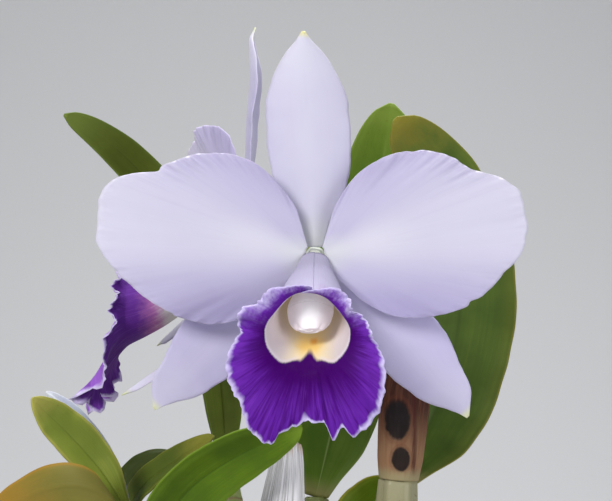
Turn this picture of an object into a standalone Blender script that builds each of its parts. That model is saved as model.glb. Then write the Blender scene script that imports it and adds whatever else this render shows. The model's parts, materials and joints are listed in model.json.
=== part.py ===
"""A potted cattleya orchid with two open blooms, in metres, +Z up.

The origin is the middle of the pot's flat base. The main bloom faces -Y and +X is to its right.
Lengths in this file are millimetres times MM.
"""

import math
import random

import bmesh
import bpy
from mathutils import Matrix, Vector

MM = 0.001
GAP = 0.3

# Pot and potting bark
POT_HEIGHT = 112.0
POT_BASE_RADIUS = 44.0
POT_TOP_RADIUS = 59.0
POT_RIM_RADIUS = 65.0
POT_RIM_HEIGHT = 22.0
POT_WALL = 5.0
POT_FLOOR = 7.0
POT_EDGE = 1.2
DRAIN_RADIUS = 4.5
DRAIN_OUT = 21.0
DRAIN_ANGLES = (90, 210, 330)
POT_STEPS = 40
BARK_TOP = 97.0
CHIP_COUNT = 90
CHIP_SEED = 7

# Rhizome, roots and pseudobulbs
RHIZOME_RADIUS = 3.0
ROOT_RADIUS = 1.5
BULB_FOOT = BARK_TOP + 2 * RHIZOME_RADIUS + 2 * GAP
BULB_SIDES = 12
BULB_SWELL = ((0, 3.6), (0.12, 4.2), (0.35, 5.8), (0.62, 6.2), (0.85, 4.8), (1, 3.6))
FLOWERING_SWELL = ((0, 3.2), (0.15, 4), (0.45, 5.2), (0.75, 4.7), (0.9, 3.2), (1, 1.8))
SPATHE_BULB_SWELL = ((0, 3.6), (0.12, 4.2), (0.35, 5.8), (0.62, 6.3), (0.85, 5.8), (1, 5.2))
BULB_FLUTE = 0.055
SHEATH_WALL = 0.6
SHEATH_GAP = 0.7

# Each pseudobulb: its foot on the rhizome and its top
BULBS = {
    "pseudobulb_front_left": ((-28, -22), (-38, -27, 160)),
    "pseudobulb_left": ((-34, -7), (-44, -12, 172)),
    "pseudobulb_back_left": ((-31, 10), (-47, 5, 166)),
    "pseudobulb_back": ((-16, 32), (-21, 50, 176)),
    "pseudobulb_middle_back": ((5, 27), (7, 36, 171)),
    "pseudobulb_back_right": ((28, 22), (32, 24, 177)),
    "pseudobulb_right": ((26, 3), (30, 5, 181)),
    "pseudobulb_inner": ((11, 10), (11, 12, 156)),
    "pseudobulb_flowering": ((-8, -12), (-0.5, -5, 194)),
}

# Papery sheaths: the pseudobulb, where it starts and ends along it, its colour and torn edge
SHEATHS = {
    "sheath_white": ("pseudobulb_flowering", 0.06, 0.985, "dry white sheath", 1.8),
    "sheath_middle": ("pseudobulb_middle_back", 0.1, 0.8, "reddish sheath", 5.0),
    "sheath_front_left": ("pseudobulb_front_left", 0.08, 0.62, "dry white sheath", 6.0),
    "sheath_back_right": ("pseudobulb_back_right", 0.08, 0.55, "reddish sheath", 5.0),
}

# The brown spathe that stands on the right-hand pseudobulb
SPATHE_TOP = (33, 6, 218)
SPATHE_SWELL = ((0, 5.4), (0.18, 6.3), (0.6, 6.9), (0.88, 5.4), (1, 1.8))

# Each leaf: its pseudobulb, where it leaves the top, the two places it bends to, its tip,
# its half width, the way its width lies at foot and tip, and how deep its channel is
LEAVES = {
    "leaf_upper_left": (
        "pseudobulb_back", (0, 0, 0), (-23, 78, 219), (-33, 72, 269), (-70, 45, 286.5),
        7.8, (0.87, 0.5, 0), (0.62, 0.3, 0.72), 0.22,
    ),
    "leaf_behind": (
        "pseudobulb_middle_back", (0, 0, 0), (16, 52, 205), (25, 44, 251), (29, 22, 288),
        15.0, (0.94, -0.2, -0.3), (0.92, -0.3, 0.2), 0.34,
    ),
    "leaf_right": (
        "pseudobulb_back_right", (0, 0, -0.6), (50, 42, 206), (62, 30, 247), (29, 2, 282),
        16.7, (1, 0.1, 0), (0.75, 0.1, 0.65), 0.2,
    ),
    "leaf_low_left": (
        "pseudobulb_left", (0, -2.4, 0), (-51.4, -18, 190), (-63.2, -20, 198), (-68.4, -26, 206),
        6.5, (0.5, 0.65, 0.5), (0.45, 0.6, 0.66), 0.3,
    ),
    "leaf_low_left_back": (
        "pseudobulb_left", (0, 2.4, 0), (-49, -5, 186), (-57, -6, 199), (-66.5, -14, 206.6),
        4.1, (0.2, 0.9, 0.3), (0.2, 0.9, 0.35), 0.2,
    ),
    "leaf_front_left": (
        "pseudobulb_front_left", (-2.6, 0, -0.8), (-40.5, -33.5, 184), (-58.5, -38, 194), (-80.5, -41, 171.5),
        9.2, (0.5, -0.75, -0.4), (0.05, -0.6, -0.8), 0.15,
    ),
    "leaf_front": (
        "pseudobulb_front_left", (2.6, 0, 0.35), (-37, -27, 181), (-17.8, -23, 190), (3, -22, 198),
        8.5, (0.62, 0.25, -0.72), (0.4, 0.4, -0.8), 0.3,
    ),
    "leaf_arching": (
        "pseudobulb_back_left", (-2.4, 2, 0), (-50, 11, 178), (-40, 15, 190.5), (-25, 15, 178),
        6.0, (0.2, -0.75, -0.6), (0.2, -0.75, -0.6), 0.3,
    ),
    "leaf_narrow": (
        "pseudobulb_back_left", (2.2, -2, 0), (-48, 0, 177), (-35.6, -8, 185), (-21, -12, 194.5),
        5.0, (0.3, -0.8, -0.5), (0.3, -0.8, -0.5), 0.35,
    ),
    "leaf_low_right": (
        "pseudobulb_inner", (0, 0, 0), (15, 12.5, 164), (22, 14, 175), (31, 14.5, 178),
        7.5, (0.6, 0.2, -0.75), (0.5, -0.2, -0.8), 0.25,
    ),
}
LEAF_OUTLINE = ((0, 0.25), (0.1, 0.42), (0.28, 0.86), (0.5, 1), (0.75, 0.84), (0.92, 0.45), (1, 0.1))
BROAD_LEAF_OUTLINE = (
    (0, 0.25), (0.05, 0.42), (0.14, 0.78), (0.3, 0.97), (0.5, 1), (0.75, 0.86), (0.92, 0.56), (1, 0.12),
)
BROAD_LEAVES = (
    "leaf_upper_left", "leaf_behind", "leaf_right", "leaf_front", "leaf_narrow", "leaf_front_left",
)
LEAF_THICKNESS = 1.5

# Sepals: half width along the length, from the flower's middle to the tip
SEPAL_START = 2.6
DORSAL_LEAN = -3.0
DORSAL_OUTLINE = (
    (0, 2.2), (0.1, 4.1), (0.2, 7.2), (0.34, 10), (0.5, 10.9), (0.66, 10.7),
    (0.8, 8.2), (0.9, 4.9), (0.96, 1.9), (1, 0.4),
)
DORSAL_STRAIGHT = ((0, -1.8), (0.5, -2.6), (0.75, -3.6), (1, -5.0))
DORSAL_BENT = ((0, -1.8), (0.35, -3.0), (0.54, -3.3), (0.77, -4.1), (0.93, -3.8), (1, -5.2))
LATERAL_LENGTH = 57.0
LATERAL_BOW = 2.4
LATERAL_HOOK = 1.4
LATERAL_HOOK_AT = 0.92
LATERAL_HOOK_WIDE = 0.075
LATERAL_OUTLINE = (
    (0, 1.5), (0.12, 3.6), (0.38, 9.2), (0.6, 9.2), (0.75, 7.5), (0.85, 5.6), (0.92, 3.7),
    (0.96, 2.0), (1, 0.4),
)
LATERAL_ANGLE_LEFT = 223.8
LATERAL_ANGLE_RIGHT = 313.3
DORSAL_TIP_CUP = 1.5
TEPAL_THICKNESS = 0.8

# Petals: reach from the flower's middle for each angle above the horizontal
PETAL_TOP_ANGLE = 69.0
PETAL_LOW_ANGLE = -43.0
PETAL_REACH_LEFT = (
    (-43, 17), (-38, 26.4), (-27, 35.5), (-15.5, 42.7), (-4.4, 50), (4.6, 55.3), (12, 56), (17, 56.4),
    (22, 53.6), (27, 47.8), (31, 44.9), (39, 40.8), (47, 36.1), (57, 28.8), (64, 20.3), (69, 13),
)
PETAL_REACH_RIGHT = (
    (-43, 16), (-38, 23.5), (-27, 33.1), (-16, 41.6), (-5, 47.8), (3.5, 53.1), (9, 54.2), (16, 54.3),
    (22, 52), (26.7, 47.6), (31, 44.8), (39, 41.6), (47, 37), (57, 29.4), (64, 22.3), (69, 13.6),
)
PETAL_REACH_FAR = (
    (-43, 17), (-38, 26.4), (-27, 35.5), (-15.5, 42.7), (-4.4, 46.5), (4.6, 47.5), (12, 46.5), (20.9, 43.7),
    (33.3, 41.6), (49, 35.7), (57, 30.9), (63, 25.7), (69, 18),
)
PETAL_REACH_NEAR = (
    (-43, 15), (-27, 31), (-16, 39.5), (-5, 45.5), (3.5, 49), (16, 49), (26.7, 43.5), (31, 42),
    (39, 39), (47, 35), (57, 28), (64, 21.3), (69, 13.6),
)
PETAL_FLAT = ((-43, 0), (69, 0))
PETAL_FAR_SWING = ((-43, 3), (10, 4), (21, 5), (33, 5.3), (49, 0.8), (57, -2.2), (69, -3.4))
PETAL_RISE = 0.17
PETAL_FALL = 0.0017
PETAL_WAVES = 6
PETAL_WAVE = 0.45

# Lip: a tube that opens into a frilled trumpet. Forward place, crown, floor, half width
LIP_TUBE = (
    (2.2, 1.2, -4.4, 3.6), (6, -0.9, -9.6, 5.0), (12, -3.0, -16.6, 7.2),
    (18, -5.6, -21.5, 8.3), (24, -7.8, -25, 9.4), (29, -8.3, -27.5, 10.3),
)
LIP_MIDDLE = -17.05
LIP_REACH = (
    (-188, 9.3), (-171, 9.8), (-152, 11.0), (-137, 12.9), (-118, 13.4), (-107, 16.4),
    (-97, 16.7), (-88, 16.0), (-78, 18.2), (-61, 21.8), (-44, 22.8), (-27, 26.9), (-16, 27.5),
    (-14, 24.6), (-5, 22.4), (0, 21), (8, 21.5), (12.5, 22), (14.5, 26.2), (18, 25.2), (21.6, 24.1),
    (24, 27.2), (40, 26), (53, 23.2), (68, 19.8), (83, 15.9), (99, 14.2), (107, 12.9), (113, 11.6),
    (124, 12.5), (139, 12.5), (164, 10.3), (188, 9.3),
)
LIP_FORWARD = ((0, 39), (20, 39.5), (45, 35.5), (65, 32.4), (100, 31.4), (150, 31.6), (188, 32))
LIP_MOUTH = 0.5
LIP_MIDLOBE = (30, 62)
LIP_SLIT = 1.4
LIP_OVERLAP = 7.0
LIP_LAP_OVER = 0.75
LIP_LAP_UNDER = 0.35
LIP_FRILLS = 13
LIP_FRILL = 1.1
LIP_THICKNESS = 0.6
LIP_DRIFT = -0.066

# Column and anther cap. Forward place, height, half width, half thickness
COLUMN = (
    (1.8, -1.2, 1.8, 1.7), (6, -3.6, 2.2, 2.1), (11, -7.2, 3.2, 2.9), (15, -10.3, 4.8, 3.7),
    (18, -12.9, 5.7, 4.1), (20.3, -15.3, 5.2, 3.4), (22, -16.8, 4.2, 1.9), (22.9, -17.6, 3.3, 0.9),
)
COLUMN_END = 0.785
CAP_FROM = 0.799

# Blooms: middle, facing angle and size; for the left and right petal, how it bends forward, how far
# it is turned up, its reach and its swing; the upright sepal's length, bow and cup; for the left and
# right lower sepal, the spine it curls along and the way its width lies; how far the lip's midlobe
# hangs, leans out and ruffles; the lip's grid, and how far below the fork the pedicel joins the stalk
BLOOMS = {
    "main_bloom": {
        "middle": (6.3, -40, 243.3), "facing": 0, "size": 1.0,
        "bend": (0.0015, 0.0015), "petal_lift": (0, 0),
        "petal_reach": (PETAL_REACH_LEFT, PETAL_REACH_RIGHT), "petal_swing": (PETAL_FLAT, PETAL_FLAT),
        "sepal_top": (58.5, DORSAL_STRAIGHT, 0.12), "sepal_curls": None,
        "lip_droop": (0, 0, 0), "lip_grid": (52, 8), "joins": 1.4,
    },
    "back_bloom": {
        "middle": (-16.3, 12, 247.1), "facing": -92, "size": 1.05,
        "bend": (0.0105, 0.016), "petal_lift": (18, -9.5),
        "petal_reach": (PETAL_REACH_FAR, PETAL_REACH_NEAR), "petal_swing": (PETAL_FAR_SWING, PETAL_FLAT),
        "sepal_top": (59.2, DORSAL_BENT, 0.16),
        "sepal_curls": (
            (((-1.9, -1.7, -1.8), (-15.1, -12.6, 1), (-24.4, -18.4, 12), (-29.6, -29.6, 25)),
             (-0.97, 0.15, 0.13)),
            (((1.9, -1.7, -1.8), (13.4, -19.5, -1), (24.5, -31, 13.5), (25.7, -39.3, 27.4)),
             (-0.97, 0.22, -0.07)),
        ),
        "lip_droop": (3.4, -0.6, 1.6), "lip_grid": (40, 6), "joins": 2.8,
    },
}
KNOB_RADIUS = 2.2

# Flower stem: the stalk from the flowering pseudobulb and the two ovaries
STEM_FORK = (3.0, 4.0, 219)
STALK = ((-0.4, -4.9, 194.8), (0.4, -1, 207), STEM_FORK)
STALK_RADIUS = 1.7
PEDICEL_RADIUS = 1.6
OVARY_RADIUS = 2.7


def clear_scene():
    for obj in list(bpy.data.objects):
        bpy.data.objects.remove(obj, do_unlink=True)


def new_collection(name):
    made = bpy.data.collections.new(name)
    bpy.context.scene.collection.children.link(made)
    return made


def new_material(name, colour, roughness, metallic=0.0):
    material = bpy.data.materials.new(name)
    material.use_nodes = True
    shader = material.node_tree.nodes["Principled BSDF"]
    shader.inputs["Base Color"].default_value = (*colour, 1)
    shader.inputs["Roughness"].default_value = roughness
    shader.inputs["Metallic"].default_value = metallic
    material.diffuse_color = (*colour, 1)
    return material


def between(start, end, part):
    return start + (end - start) * part


def eased(low, high, at):
    part = min(1.0, max(0.0, (at - low) / (high - low)))
    return part * part * (3 - 2 * part)


def value_on(stations, at):
    """The value at a place on a smooth curve through (place, value) stations, which never overshoots."""
    at = min(max(at, stations[0][0]), stations[-1][0])
    last = len(stations) - 2
    index = next((i for i in range(last + 1) if at <= stations[i + 1][0]), last)

    def slope_over(i):
        return (stations[i + 1][1] - stations[i][1]) / (stations[i + 1][0] - stations[i][0])

    def slope_at(i):
        if i == 0 or i == last + 1:
            return slope_over(min(i, last))
        before = slope_over(i - 1)
        after = slope_over(i)
        return 0.0 if before * after <= 0 else 2 * before * after / (before + after)

    (x0, y0), (x1, y1) = stations[index], stations[index + 1]
    width = x1 - x0
    t = (at - x0) / width
    rise = slope_at(index) * width
    fall = slope_at(index + 1) * width
    return (
        y0 * (1 + 2 * t) * (1 - t) ** 2
        + rise * t * (1 - t) ** 2
        + y1 * t * t * (3 - 2 * t)
        + fall * t * t * (t - 1)
    )


def column_of(stations, number):
    """The (place, value) stations of one column of a table of stations."""
    return tuple((row[0], row[number]) for row in stations)


def bezier(points, t):
    a, b, c, d = (Vector(point) for point in points)
    s = 1 - t
    return a * s**3 + b * 3 * s * s * t + c * 3 * s * t * t + d * t**3


def bezier_way(points, t):
    step = 0.01
    return (bezier(points, min(1, t + step)) - bezier(points, max(0, t - step))).normalized()


def smooth_path(points, steps):
    """Points along a smooth curve through all the points given."""
    places = [Vector(point) for point in points]
    first = places[0] * 2 - places[1]
    final = places[-1] * 2 - places[-2]
    places = [first, *places, final]
    path = []
    for i in range(1, len(places) - 2):
        a, b, c, d = places[i - 1 : i + 3]
        for step in range(steps):
            t = step / steps
            path.append(
                (b * 2 + (c - a) * t + (a * 2 - b * 5 + c * 4 - d) * t * t
                 + (b * 3 - a - c * 3 + d) * t**3) * 0.5
            )
    path.append(places[-2])
    return path


def add_object(name, mesh, collection, material=None):
    obj = bpy.data.objects.new(name, mesh)
    collection.objects.link(obj)
    if material:
        mesh.materials.append(material)
    return obj


def finish_mesh(bm, name):
    for vert in bm.verts:
        vert.co *= MM
    mesh = bpy.data.meshes.new(name)
    bm.to_mesh(mesh)
    bm.free()
    mesh.shade_smooth()
    return mesh


def sheet(name, across, along, place, thickness, collection, material):
    """A thin blade: a grid moved to place(across, along), split into triangles and given thickness."""
    bm = bmesh.new()
    bmesh.ops.create_grid(bm, x_segments=across, y_segments=along, size=1)
    for vert in bm.verts:
        vert.co = place(vert.co.x, (vert.co.y + 1) / 2)
    bmesh.ops.triangulate(bm, faces=bm.faces, quad_method="SHORT_EDGE")
    obj = add_object(name, finish_mesh(bm, name), collection, material)
    solidify = obj.modifiers.new("thickness", "SOLIDIFY")
    solidify.thickness = thickness * MM
    solidify.offset = 0
    return obj


def loft(name, sides, along, place, collection, material):
    """A closed body: a grid rolled into a tube at place(turn, along), with both ends filled."""
    bm = bmesh.new()
    bmesh.ops.create_grid(bm, x_segments=sides, y_segments=along, size=1)
    for vert in bm.verts:
        vert.co = place((vert.co.x + 1) * math.pi, (vert.co.y + 1) / 2)
    bmesh.ops.remove_doubles(bm, verts=bm.verts, dist=0.001)
    bmesh.ops.holes_fill(bm, edges=[edge for edge in bm.edges if edge.is_boundary], sides=0)
    bmesh.ops.recalc_face_normals(bm, faces=bm.faces)
    bmesh.ops.triangulate(bm, faces=bm.faces)
    return add_object(name, finish_mesh(bm, name), collection, material)


def tube(name, path, radii, sides, collection, material):
    """A round stem along a path, as a bevelled curve turned into one closed mesh."""
    curve = bpy.data.curves.new(name, "CURVE")
    curve.dimensions = "3D"
    curve.bevel_depth = MM
    curve.bevel_resolution = (sides - 4) // 2
    curve.use_fill_caps = True
    spline = curve.splines.new("POLY")
    spline.points.add(len(path) - 1)
    for point, place, radius in zip(spline.points, path, radii):
        point.co = (*(Vector(place) * MM), 1)
        point.radius = radius
    guide = add_object(name + " path", curve, collection)
    bpy.context.view_layer.update()
    graph = bpy.context.evaluated_depsgraph_get()
    mesh = bpy.data.meshes.new_from_object(guide.evaluated_get(graph))
    bpy.data.objects.remove(guide)
    bm = bmesh.new()
    bm.from_mesh(mesh)
    bmesh.ops.remove_doubles(bm, verts=bm.verts, dist=1e-6)
    bmesh.ops.recalc_face_normals(bm, faces=bm.faces)
    bm.to_mesh(mesh)
    bm.free()
    mesh.materials.clear()
    mesh.shade_smooth()
    return add_object(name, mesh, collection, material)


def join_by_union(body, pieces):
    """Fuses the pieces into the body with one Boolean and removes them."""
    helpers = bpy.data.collections.new(body.name + " pieces")
    bpy.context.scene.collection.children.link(helpers)
    helpers.hide_render = True
    for piece in pieces:
        for home in list(piece.users_collection):
            home.objects.unlink(piece)
        helpers.objects.link(piece)
    union = body.modifiers.new("union", "BOOLEAN")
    union.operation = "UNION"
    union.operand_type = "COLLECTION"
    union.collection = helpers
    union.solver = "MANIFOLD"
    bpy.context.view_layer.update()
    graph = bpy.context.evaluated_depsgraph_get()
    joined = bpy.data.meshes.new_from_object(body.evaluated_get(graph))
    body.modifiers.clear()
    body.data = joined
    for piece in list(helpers.objects):
        bpy.data.objects.remove(piece, do_unlink=True)
    bpy.data.collections.remove(helpers)


def pot_inner_radius(height):
    """Inside radius of the pot at a height above its base."""
    return between(POT_BASE_RADIUS, POT_TOP_RADIUS, height / POT_HEIGHT) - POT_WALL


def build_pot(collection, cutters, material):
    """A turned clay pot with three drain holes: the profile runs up the inside and down the outside."""
    rim_foot = POT_HEIGHT - POT_RIM_HEIGHT
    outer_at_rim = between(POT_BASE_RADIUS, POT_TOP_RADIUS, rim_foot / POT_HEIGHT)
    profile = (
        (0, POT_FLOOR),
        (pot_inner_radius(POT_FLOOR), POT_FLOOR),
        (pot_inner_radius(POT_HEIGHT), POT_HEIGHT - POT_EDGE),
        (pot_inner_radius(POT_HEIGHT) + POT_EDGE, POT_HEIGHT),
        (POT_RIM_RADIUS - POT_EDGE, POT_HEIGHT),
        (POT_RIM_RADIUS, POT_HEIGHT - POT_EDGE),
        (POT_RIM_RADIUS - 2, rim_foot + POT_EDGE),
        (POT_RIM_RADIUS - 3, rim_foot),
        (outer_at_rim, rim_foot),
        (POT_BASE_RADIUS, POT_EDGE),
        (POT_BASE_RADIUS - POT_EDGE, 0),
        (0, 0),
    )
    bm = bmesh.new()
    corners = [bm.verts.new((radius, 0, height)) for radius, height in profile]
    for start, end in zip(corners, corners[1:]):
        bm.edges.new((start, end))
    pot = add_object("pot", finish_mesh(bm, "pot"), collection, material)
    screw = pot.modifiers.new("turned", "SCREW")
    screw.steps = POT_STEPS
    screw.render_steps = POT_STEPS
    screw.use_merge_vertices = True
    screw.merge_threshold = 0.00001
    for angle in DRAIN_ANGLES:
        way = math.radians(angle)
        hole = bmesh.new()
        bmesh.ops.create_cone(
            hole, segments=16, radius1=DRAIN_RADIUS, radius2=DRAIN_RADIUS, depth=POT_FLOOR * 2,
            cap_ends=True,
            matrix=Matrix.Translation((DRAIN_OUT * math.cos(way), DRAIN_OUT * math.sin(way), POT_FLOOR / 2)),
        )
        cutter = add_object(f"drain hole {angle}", finish_mesh(hole, "drain hole"), cutters)
        cutter.hide_render = True
        cutter.display_type = "WIRE"
    drain = pot.modifiers.new("drain holes", "BOOLEAN")
    drain.operation = "DIFFERENCE"
    drain.operand_type = "COLLECTION"
    drain.collection = cutters
    return pot


def rhizome_path():
    feet = [Vector((*foot, BARK_TOP + GAP + RHIZOME_RADIUS)) for foot, top in BULBS.values()]
    return smooth_path(feet, 3)


def root_paths():
    """Roots leave the rhizome on its outer side, lie on the bark and wander towards the pot's wall."""
    wander = random.Random(CHIP_SEED + 1)
    feet = [Vector((*foot, 0)) for foot, top in BULBS.values()]
    height = BARK_TOP + GAP + ROOT_RADIUS
    paths = []
    for foot in feet:
        outward = foot.normalized()
        sideways = Vector((-outward.y, outward.x, 0))
        length = 46 - foot.length
        if length < 12:
            continue
        swing = wander.uniform(-9, 9)
        points = [
            foot + Vector((0, 0, BARK_TOP + GAP + RHIZOME_RADIUS - 0.4)),
            foot + outward * 4 + sideways * swing * 0.1 + Vector((0, 0, height + 0.8)),
            foot + outward * length * 0.5 + sideways * swing * 0.6 + Vector((0, 0, height)),
            foot + outward * length + sideways * swing + Vector((0, 0, height)),
        ]
        paths.append(smooth_path(points, 3))
    return paths


def build_rhizome(collection, material):
    """The creeping stem on the bark, with its surface roots fused to it."""
    path = rhizome_path()
    radii = [RHIZOME_RADIUS * (1 - 0.1 * (i % 2)) for i in range(len(path))]
    rhizome = tube("rhizome", path, radii, 8, collection, material)
    roots = []
    for number, root in enumerate(root_paths()):
        taper = [ROOT_RADIUS * (1 - 0.35 * i / len(root)) for i in range(len(root))]
        roots.append(tube(f"root {number}", root, taper, 8, collection, material))
    join_by_union(rhizome, roots)
    return rhizome


def bark_is_covered(place, reach):
    """True where the rhizome or a root lies on the bark, so that no chip may stand there."""
    flat = Vector((place[0], place[1], 0))
    for path, clear in [(rhizome_path(), RHIZOME_RADIUS)] + [(p, ROOT_RADIUS) for p in root_paths()]:
        for start, end in zip(path, path[1:]):
            for part in (0, 0.5):
                middle = start.lerp(end, part)
                if (Vector((middle.x, middle.y, 0)) - flat).length < clear + reach + 0.5:
                    return True
    return False


def build_bark(collection, material):
    """The packed bark, a body that fills the pot, with chips standing out of its top."""
    low = POT_FLOOR + GAP
    bottom_radius = pot_inner_radius(low) - 0.5
    top_radius = pot_inner_radius(BARK_TOP) - 0.5
    bm = bmesh.new()
    bmesh.ops.create_cone(
        bm, segments=POT_STEPS, radius1=bottom_radius, radius2=top_radius, depth=BARK_TOP - low,
        cap_ends=True, matrix=Matrix.Translation((0, 0, (BARK_TOP + low) / 2)),
    )
    bark = add_object("potting_bark", finish_mesh(bm, "potting_bark"), collection, material)
    draw = random.Random(CHIP_SEED)
    golden = math.pi * (3 - math.sqrt(5))
    chips = []
    for number in range(CHIP_COUNT * 2):
        reach = (top_radius - 6) * math.sqrt((number + 0.5) / (CHIP_COUNT * 2))
        turn = number * golden
        place = (reach * math.cos(turn), reach * math.sin(turn))
        size = (draw.uniform(6, 11), draw.uniform(5, 8), draw.uniform(3.2, 5))
        spin = draw.uniform(0, math.pi)
        tilt = draw.uniform(-0.4, 0.4)
        if bark_is_covered(place, math.hypot(size[0], size[1]) / 2):
            continue
        chip = bmesh.new()
        bmesh.ops.create_cube(chip, size=1)
        for vert in chip.verts:
            pinch = 0.72 if vert.co.z > 0 else 1.0
            shift = Vector([draw.uniform(-0.06, 0.06) for _ in range(3)])
            stretched = Matrix.Diagonal(size) @ (vert.co + shift)
            vert.co = Vector((stretched.x * pinch, stretched.y * pinch, stretched.z))
        turned = Matrix.Rotation(spin, 4, "Z") @ Matrix.Rotation(tilt, 4, "X")
        chip.transform(Matrix.Translation((*place, BARK_TOP + 0.4)) @ turned)
        bmesh.ops.triangulate(chip, faces=chip.faces)
        chips.append(add_object(f"chip {number}", finish_mesh(chip, "chip"), collection, material))
    join_by_union(bark, chips)
    return bark


def bulb_axis(name):
    """Four points of a pseudobulb's bent axis, from its foot on the rhizome to its top."""
    foot, top = BULBS[name]
    foot = Vector((*foot, BULB_FOOT))
    top = Vector(top)
    rise = top.z - foot.z
    return (foot, foot + Vector((0, 0, rise * 0.35)), top - (top - foot) * 0.3, top)


def bulb_swell(name):
    special = {"pseudobulb_flowering": FLOWERING_SWELL, "pseudobulb_right": SPATHE_BULB_SWELL}
    return special.get(name, BULB_SWELL)


def round_place(axis, along, turn, radius):
    """A point round a bent axis, in a plane square to it."""
    way = bezier_way(axis, along)
    right = way.cross(Vector((0, 1, 0))).normalized() * -1
    back = way.cross(right)
    return bezier(axis, along) + right * math.cos(turn) * radius + back * math.sin(turn) * radius


def build_bulb(name, collection, material):
    """A pseudobulb: a swollen stem with shallow flutes."""
    axis = bulb_axis(name)
    swell = bulb_swell(name)

    def place(turn, along):
        flute = 1 + BULB_FLUTE * math.cos(turn * BULB_SIDES / 2)
        return round_place(axis, along, turn, value_on(swell, along) * flute)

    return loft(name, BULB_SIDES, 6, place, collection, material)


def build_sheath(name, collection, materials):
    """A dry, papery sheath rolled most of the way round a pseudobulb, with a torn upper edge."""
    bulb, low, high, colour, torn = SHEATHS[name]
    axis = bulb_axis(bulb)
    swell = bulb_swell(bulb)
    rise = BULBS[bulb][1][2] - BULB_FOOT

    def place(across, part):
        turn = math.pi * (1.5 + 0.93 * across)
        ragged = torn / rise * math.sin(5 * across + 2 * abs(across)) * part
        along = between(low, high - torn / rise, part) + ragged
        skin = value_on(swell, along) * (1 + BULB_FLUTE)
        return round_place(axis, along, turn, skin + SHEATH_GAP + SHEATH_WALL / 2)

    return sheet(name, 12, 5, place, SHEATH_WALL, collection, materials[colour])


def build_spathe(collection, material):
    """The brown dry spathe, standing on the right-hand pseudobulb."""
    foot = Vector(BULBS["pseudobulb_right"][1]) + Vector((0, 0, GAP))
    top = Vector(SPATHE_TOP)
    axis = (foot, foot.lerp(top, 0.35), foot.lerp(top, 0.65), top)

    def place(turn, along):
        return round_place(axis, along, turn, value_on(SPATHE_SWELL, along))

    return loft("spathe", 12, 7, place, collection, material)


def build_leaf(name, collection, material):
    """A thick leaf with a channel along its midrib, bent from its pseudobulb out to its tip."""
    bulb, start, bend_low, bend_high, tip, half, side_low, side_high, channel = LEAVES[name]
    outline = BROAD_LEAF_OUTLINE if name in BROAD_LEAVES else LEAF_OUTLINE
    foot = Vector(BULBS[bulb][1]) + Vector(start) + Vector((0, 0, GAP))
    spine = [foot, Vector(bend_low), Vector(bend_high), Vector(tip)]

    def way_and_side(along):
        way = bezier_way(spine, along)
        side = Vector(side_low).lerp(Vector(side_high), along)
        return way, (side - way * side.dot(way)).normalized()

    way, side = way_and_side(0)
    seat = LEAF_THICKNESS / 2 * math.hypot(way.x, way.y) + half * outline[0][1] * abs(side.z)
    spine[0] = foot + Vector((0, 0, seat))

    def place(across, along):
        way, side = way_and_side(along)
        face = side.cross(way).normalized()
        width = half * value_on(outline, along)
        fold = channel * width * (abs(across) ** 1.4) * (1 - 0.35 * along)
        return bezier(spine, along) + side * across * width + face * fold

    return sheet(name, 4, 10, place, LEAF_THICKNESS, collection, material)


def flower_point(right, up, forward, size=1.0):
    """From the flower's own right, up and forward to its local X, Y and Z."""
    return Vector((right, -forward, up)) * size


def swung(right, forward, bend):
    """Bends a flat blade forward about the flower's upright axis, keeping its length."""
    turn = right * bend
    return math.sin(turn) / bend, forward + (1 - math.cos(turn)) / bend


def petal_place(hand, table, swing, lift, bend, size):
    """Where a petal's blade lies: rays fan from its claw, out to the reach for each angle."""

    def place(across, along):
        angle = between(PETAL_LOW_ANGLE, PETAL_TOP_ANGLE, (across + 1) / 2)
        reach = between(SEPAL_START, value_on(table, angle), along)
        right = hand * reach * math.cos(math.radians(angle + lift))
        up = reach * math.sin(math.radians(angle + lift))
        forward = 0.6 + PETAL_RISE * reach - PETAL_FALL * reach * reach
        forward -= 0.9 * abs(across) ** 2.5 * reach / 40
        forward += PETAL_WAVE * along**4 * math.sin(across * math.pi * PETAL_WAVES)
        forward += value_on(swing, angle) * along**2
        right, forward = swung(right, forward, bend)
        return flower_point(right, up, forward, size)

    return place


def dorsal_place(length, bow, cup, size):
    """The upright sepal behind the petals, leaning a little and curving back at its tip."""

    def place(across, along):
        up = between(SEPAL_START, length, along)
        half = value_on(DORSAL_OUTLINE, along)
        right = DORSAL_LEAN * (up / length) + across * half
        forward = value_on(bow, along) - cup * (1 + DORSAL_TIP_CUP * along**3) * half * across**2
        return flower_point(right, up, forward, size)

    return place


def lateral_place(hand, angle, size):
    """One of the two lower sepals, flat and bowed outward along its length."""
    way = math.radians(angle)

    def place(across, along):
        reach = between(SEPAL_START, LATERAL_LENGTH, along)
        half = value_on(LATERAL_OUTLINE, along)
        hook = LATERAL_HOOK * math.exp(-(((along - LATERAL_HOOK_AT) / LATERAL_HOOK_WIDE) ** 2))
        off = hand * (LATERAL_BOW * math.sin(math.pi * along) + hook) + across * half
        right = reach * math.cos(way) - off * math.sin(way)
        up = reach * math.sin(way) + off * math.cos(way)
        forward = -1.8 - 0.9 * along - 0.1 * half * across**2
        return flower_point(right, up, forward, size)

    return place


def ribbon_place(spine, wide_way, size):
    """A lower sepal that curls along a spine, given in the flower's own right, up and forward."""
    wide_way = Vector(wide_way)

    def place(across, along):
        way = bezier_way(spine, along)
        wide = (wide_way - way * way.dot(wide_way)).normalized()
        half = value_on(LATERAL_OUTLINE, along)
        spot = bezier(spine, along) + wide * across * half + way.cross(wide) * 0.1 * half * across**2
        return flower_point(spot.x, spot.y, spot.z, size)

    return place


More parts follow.
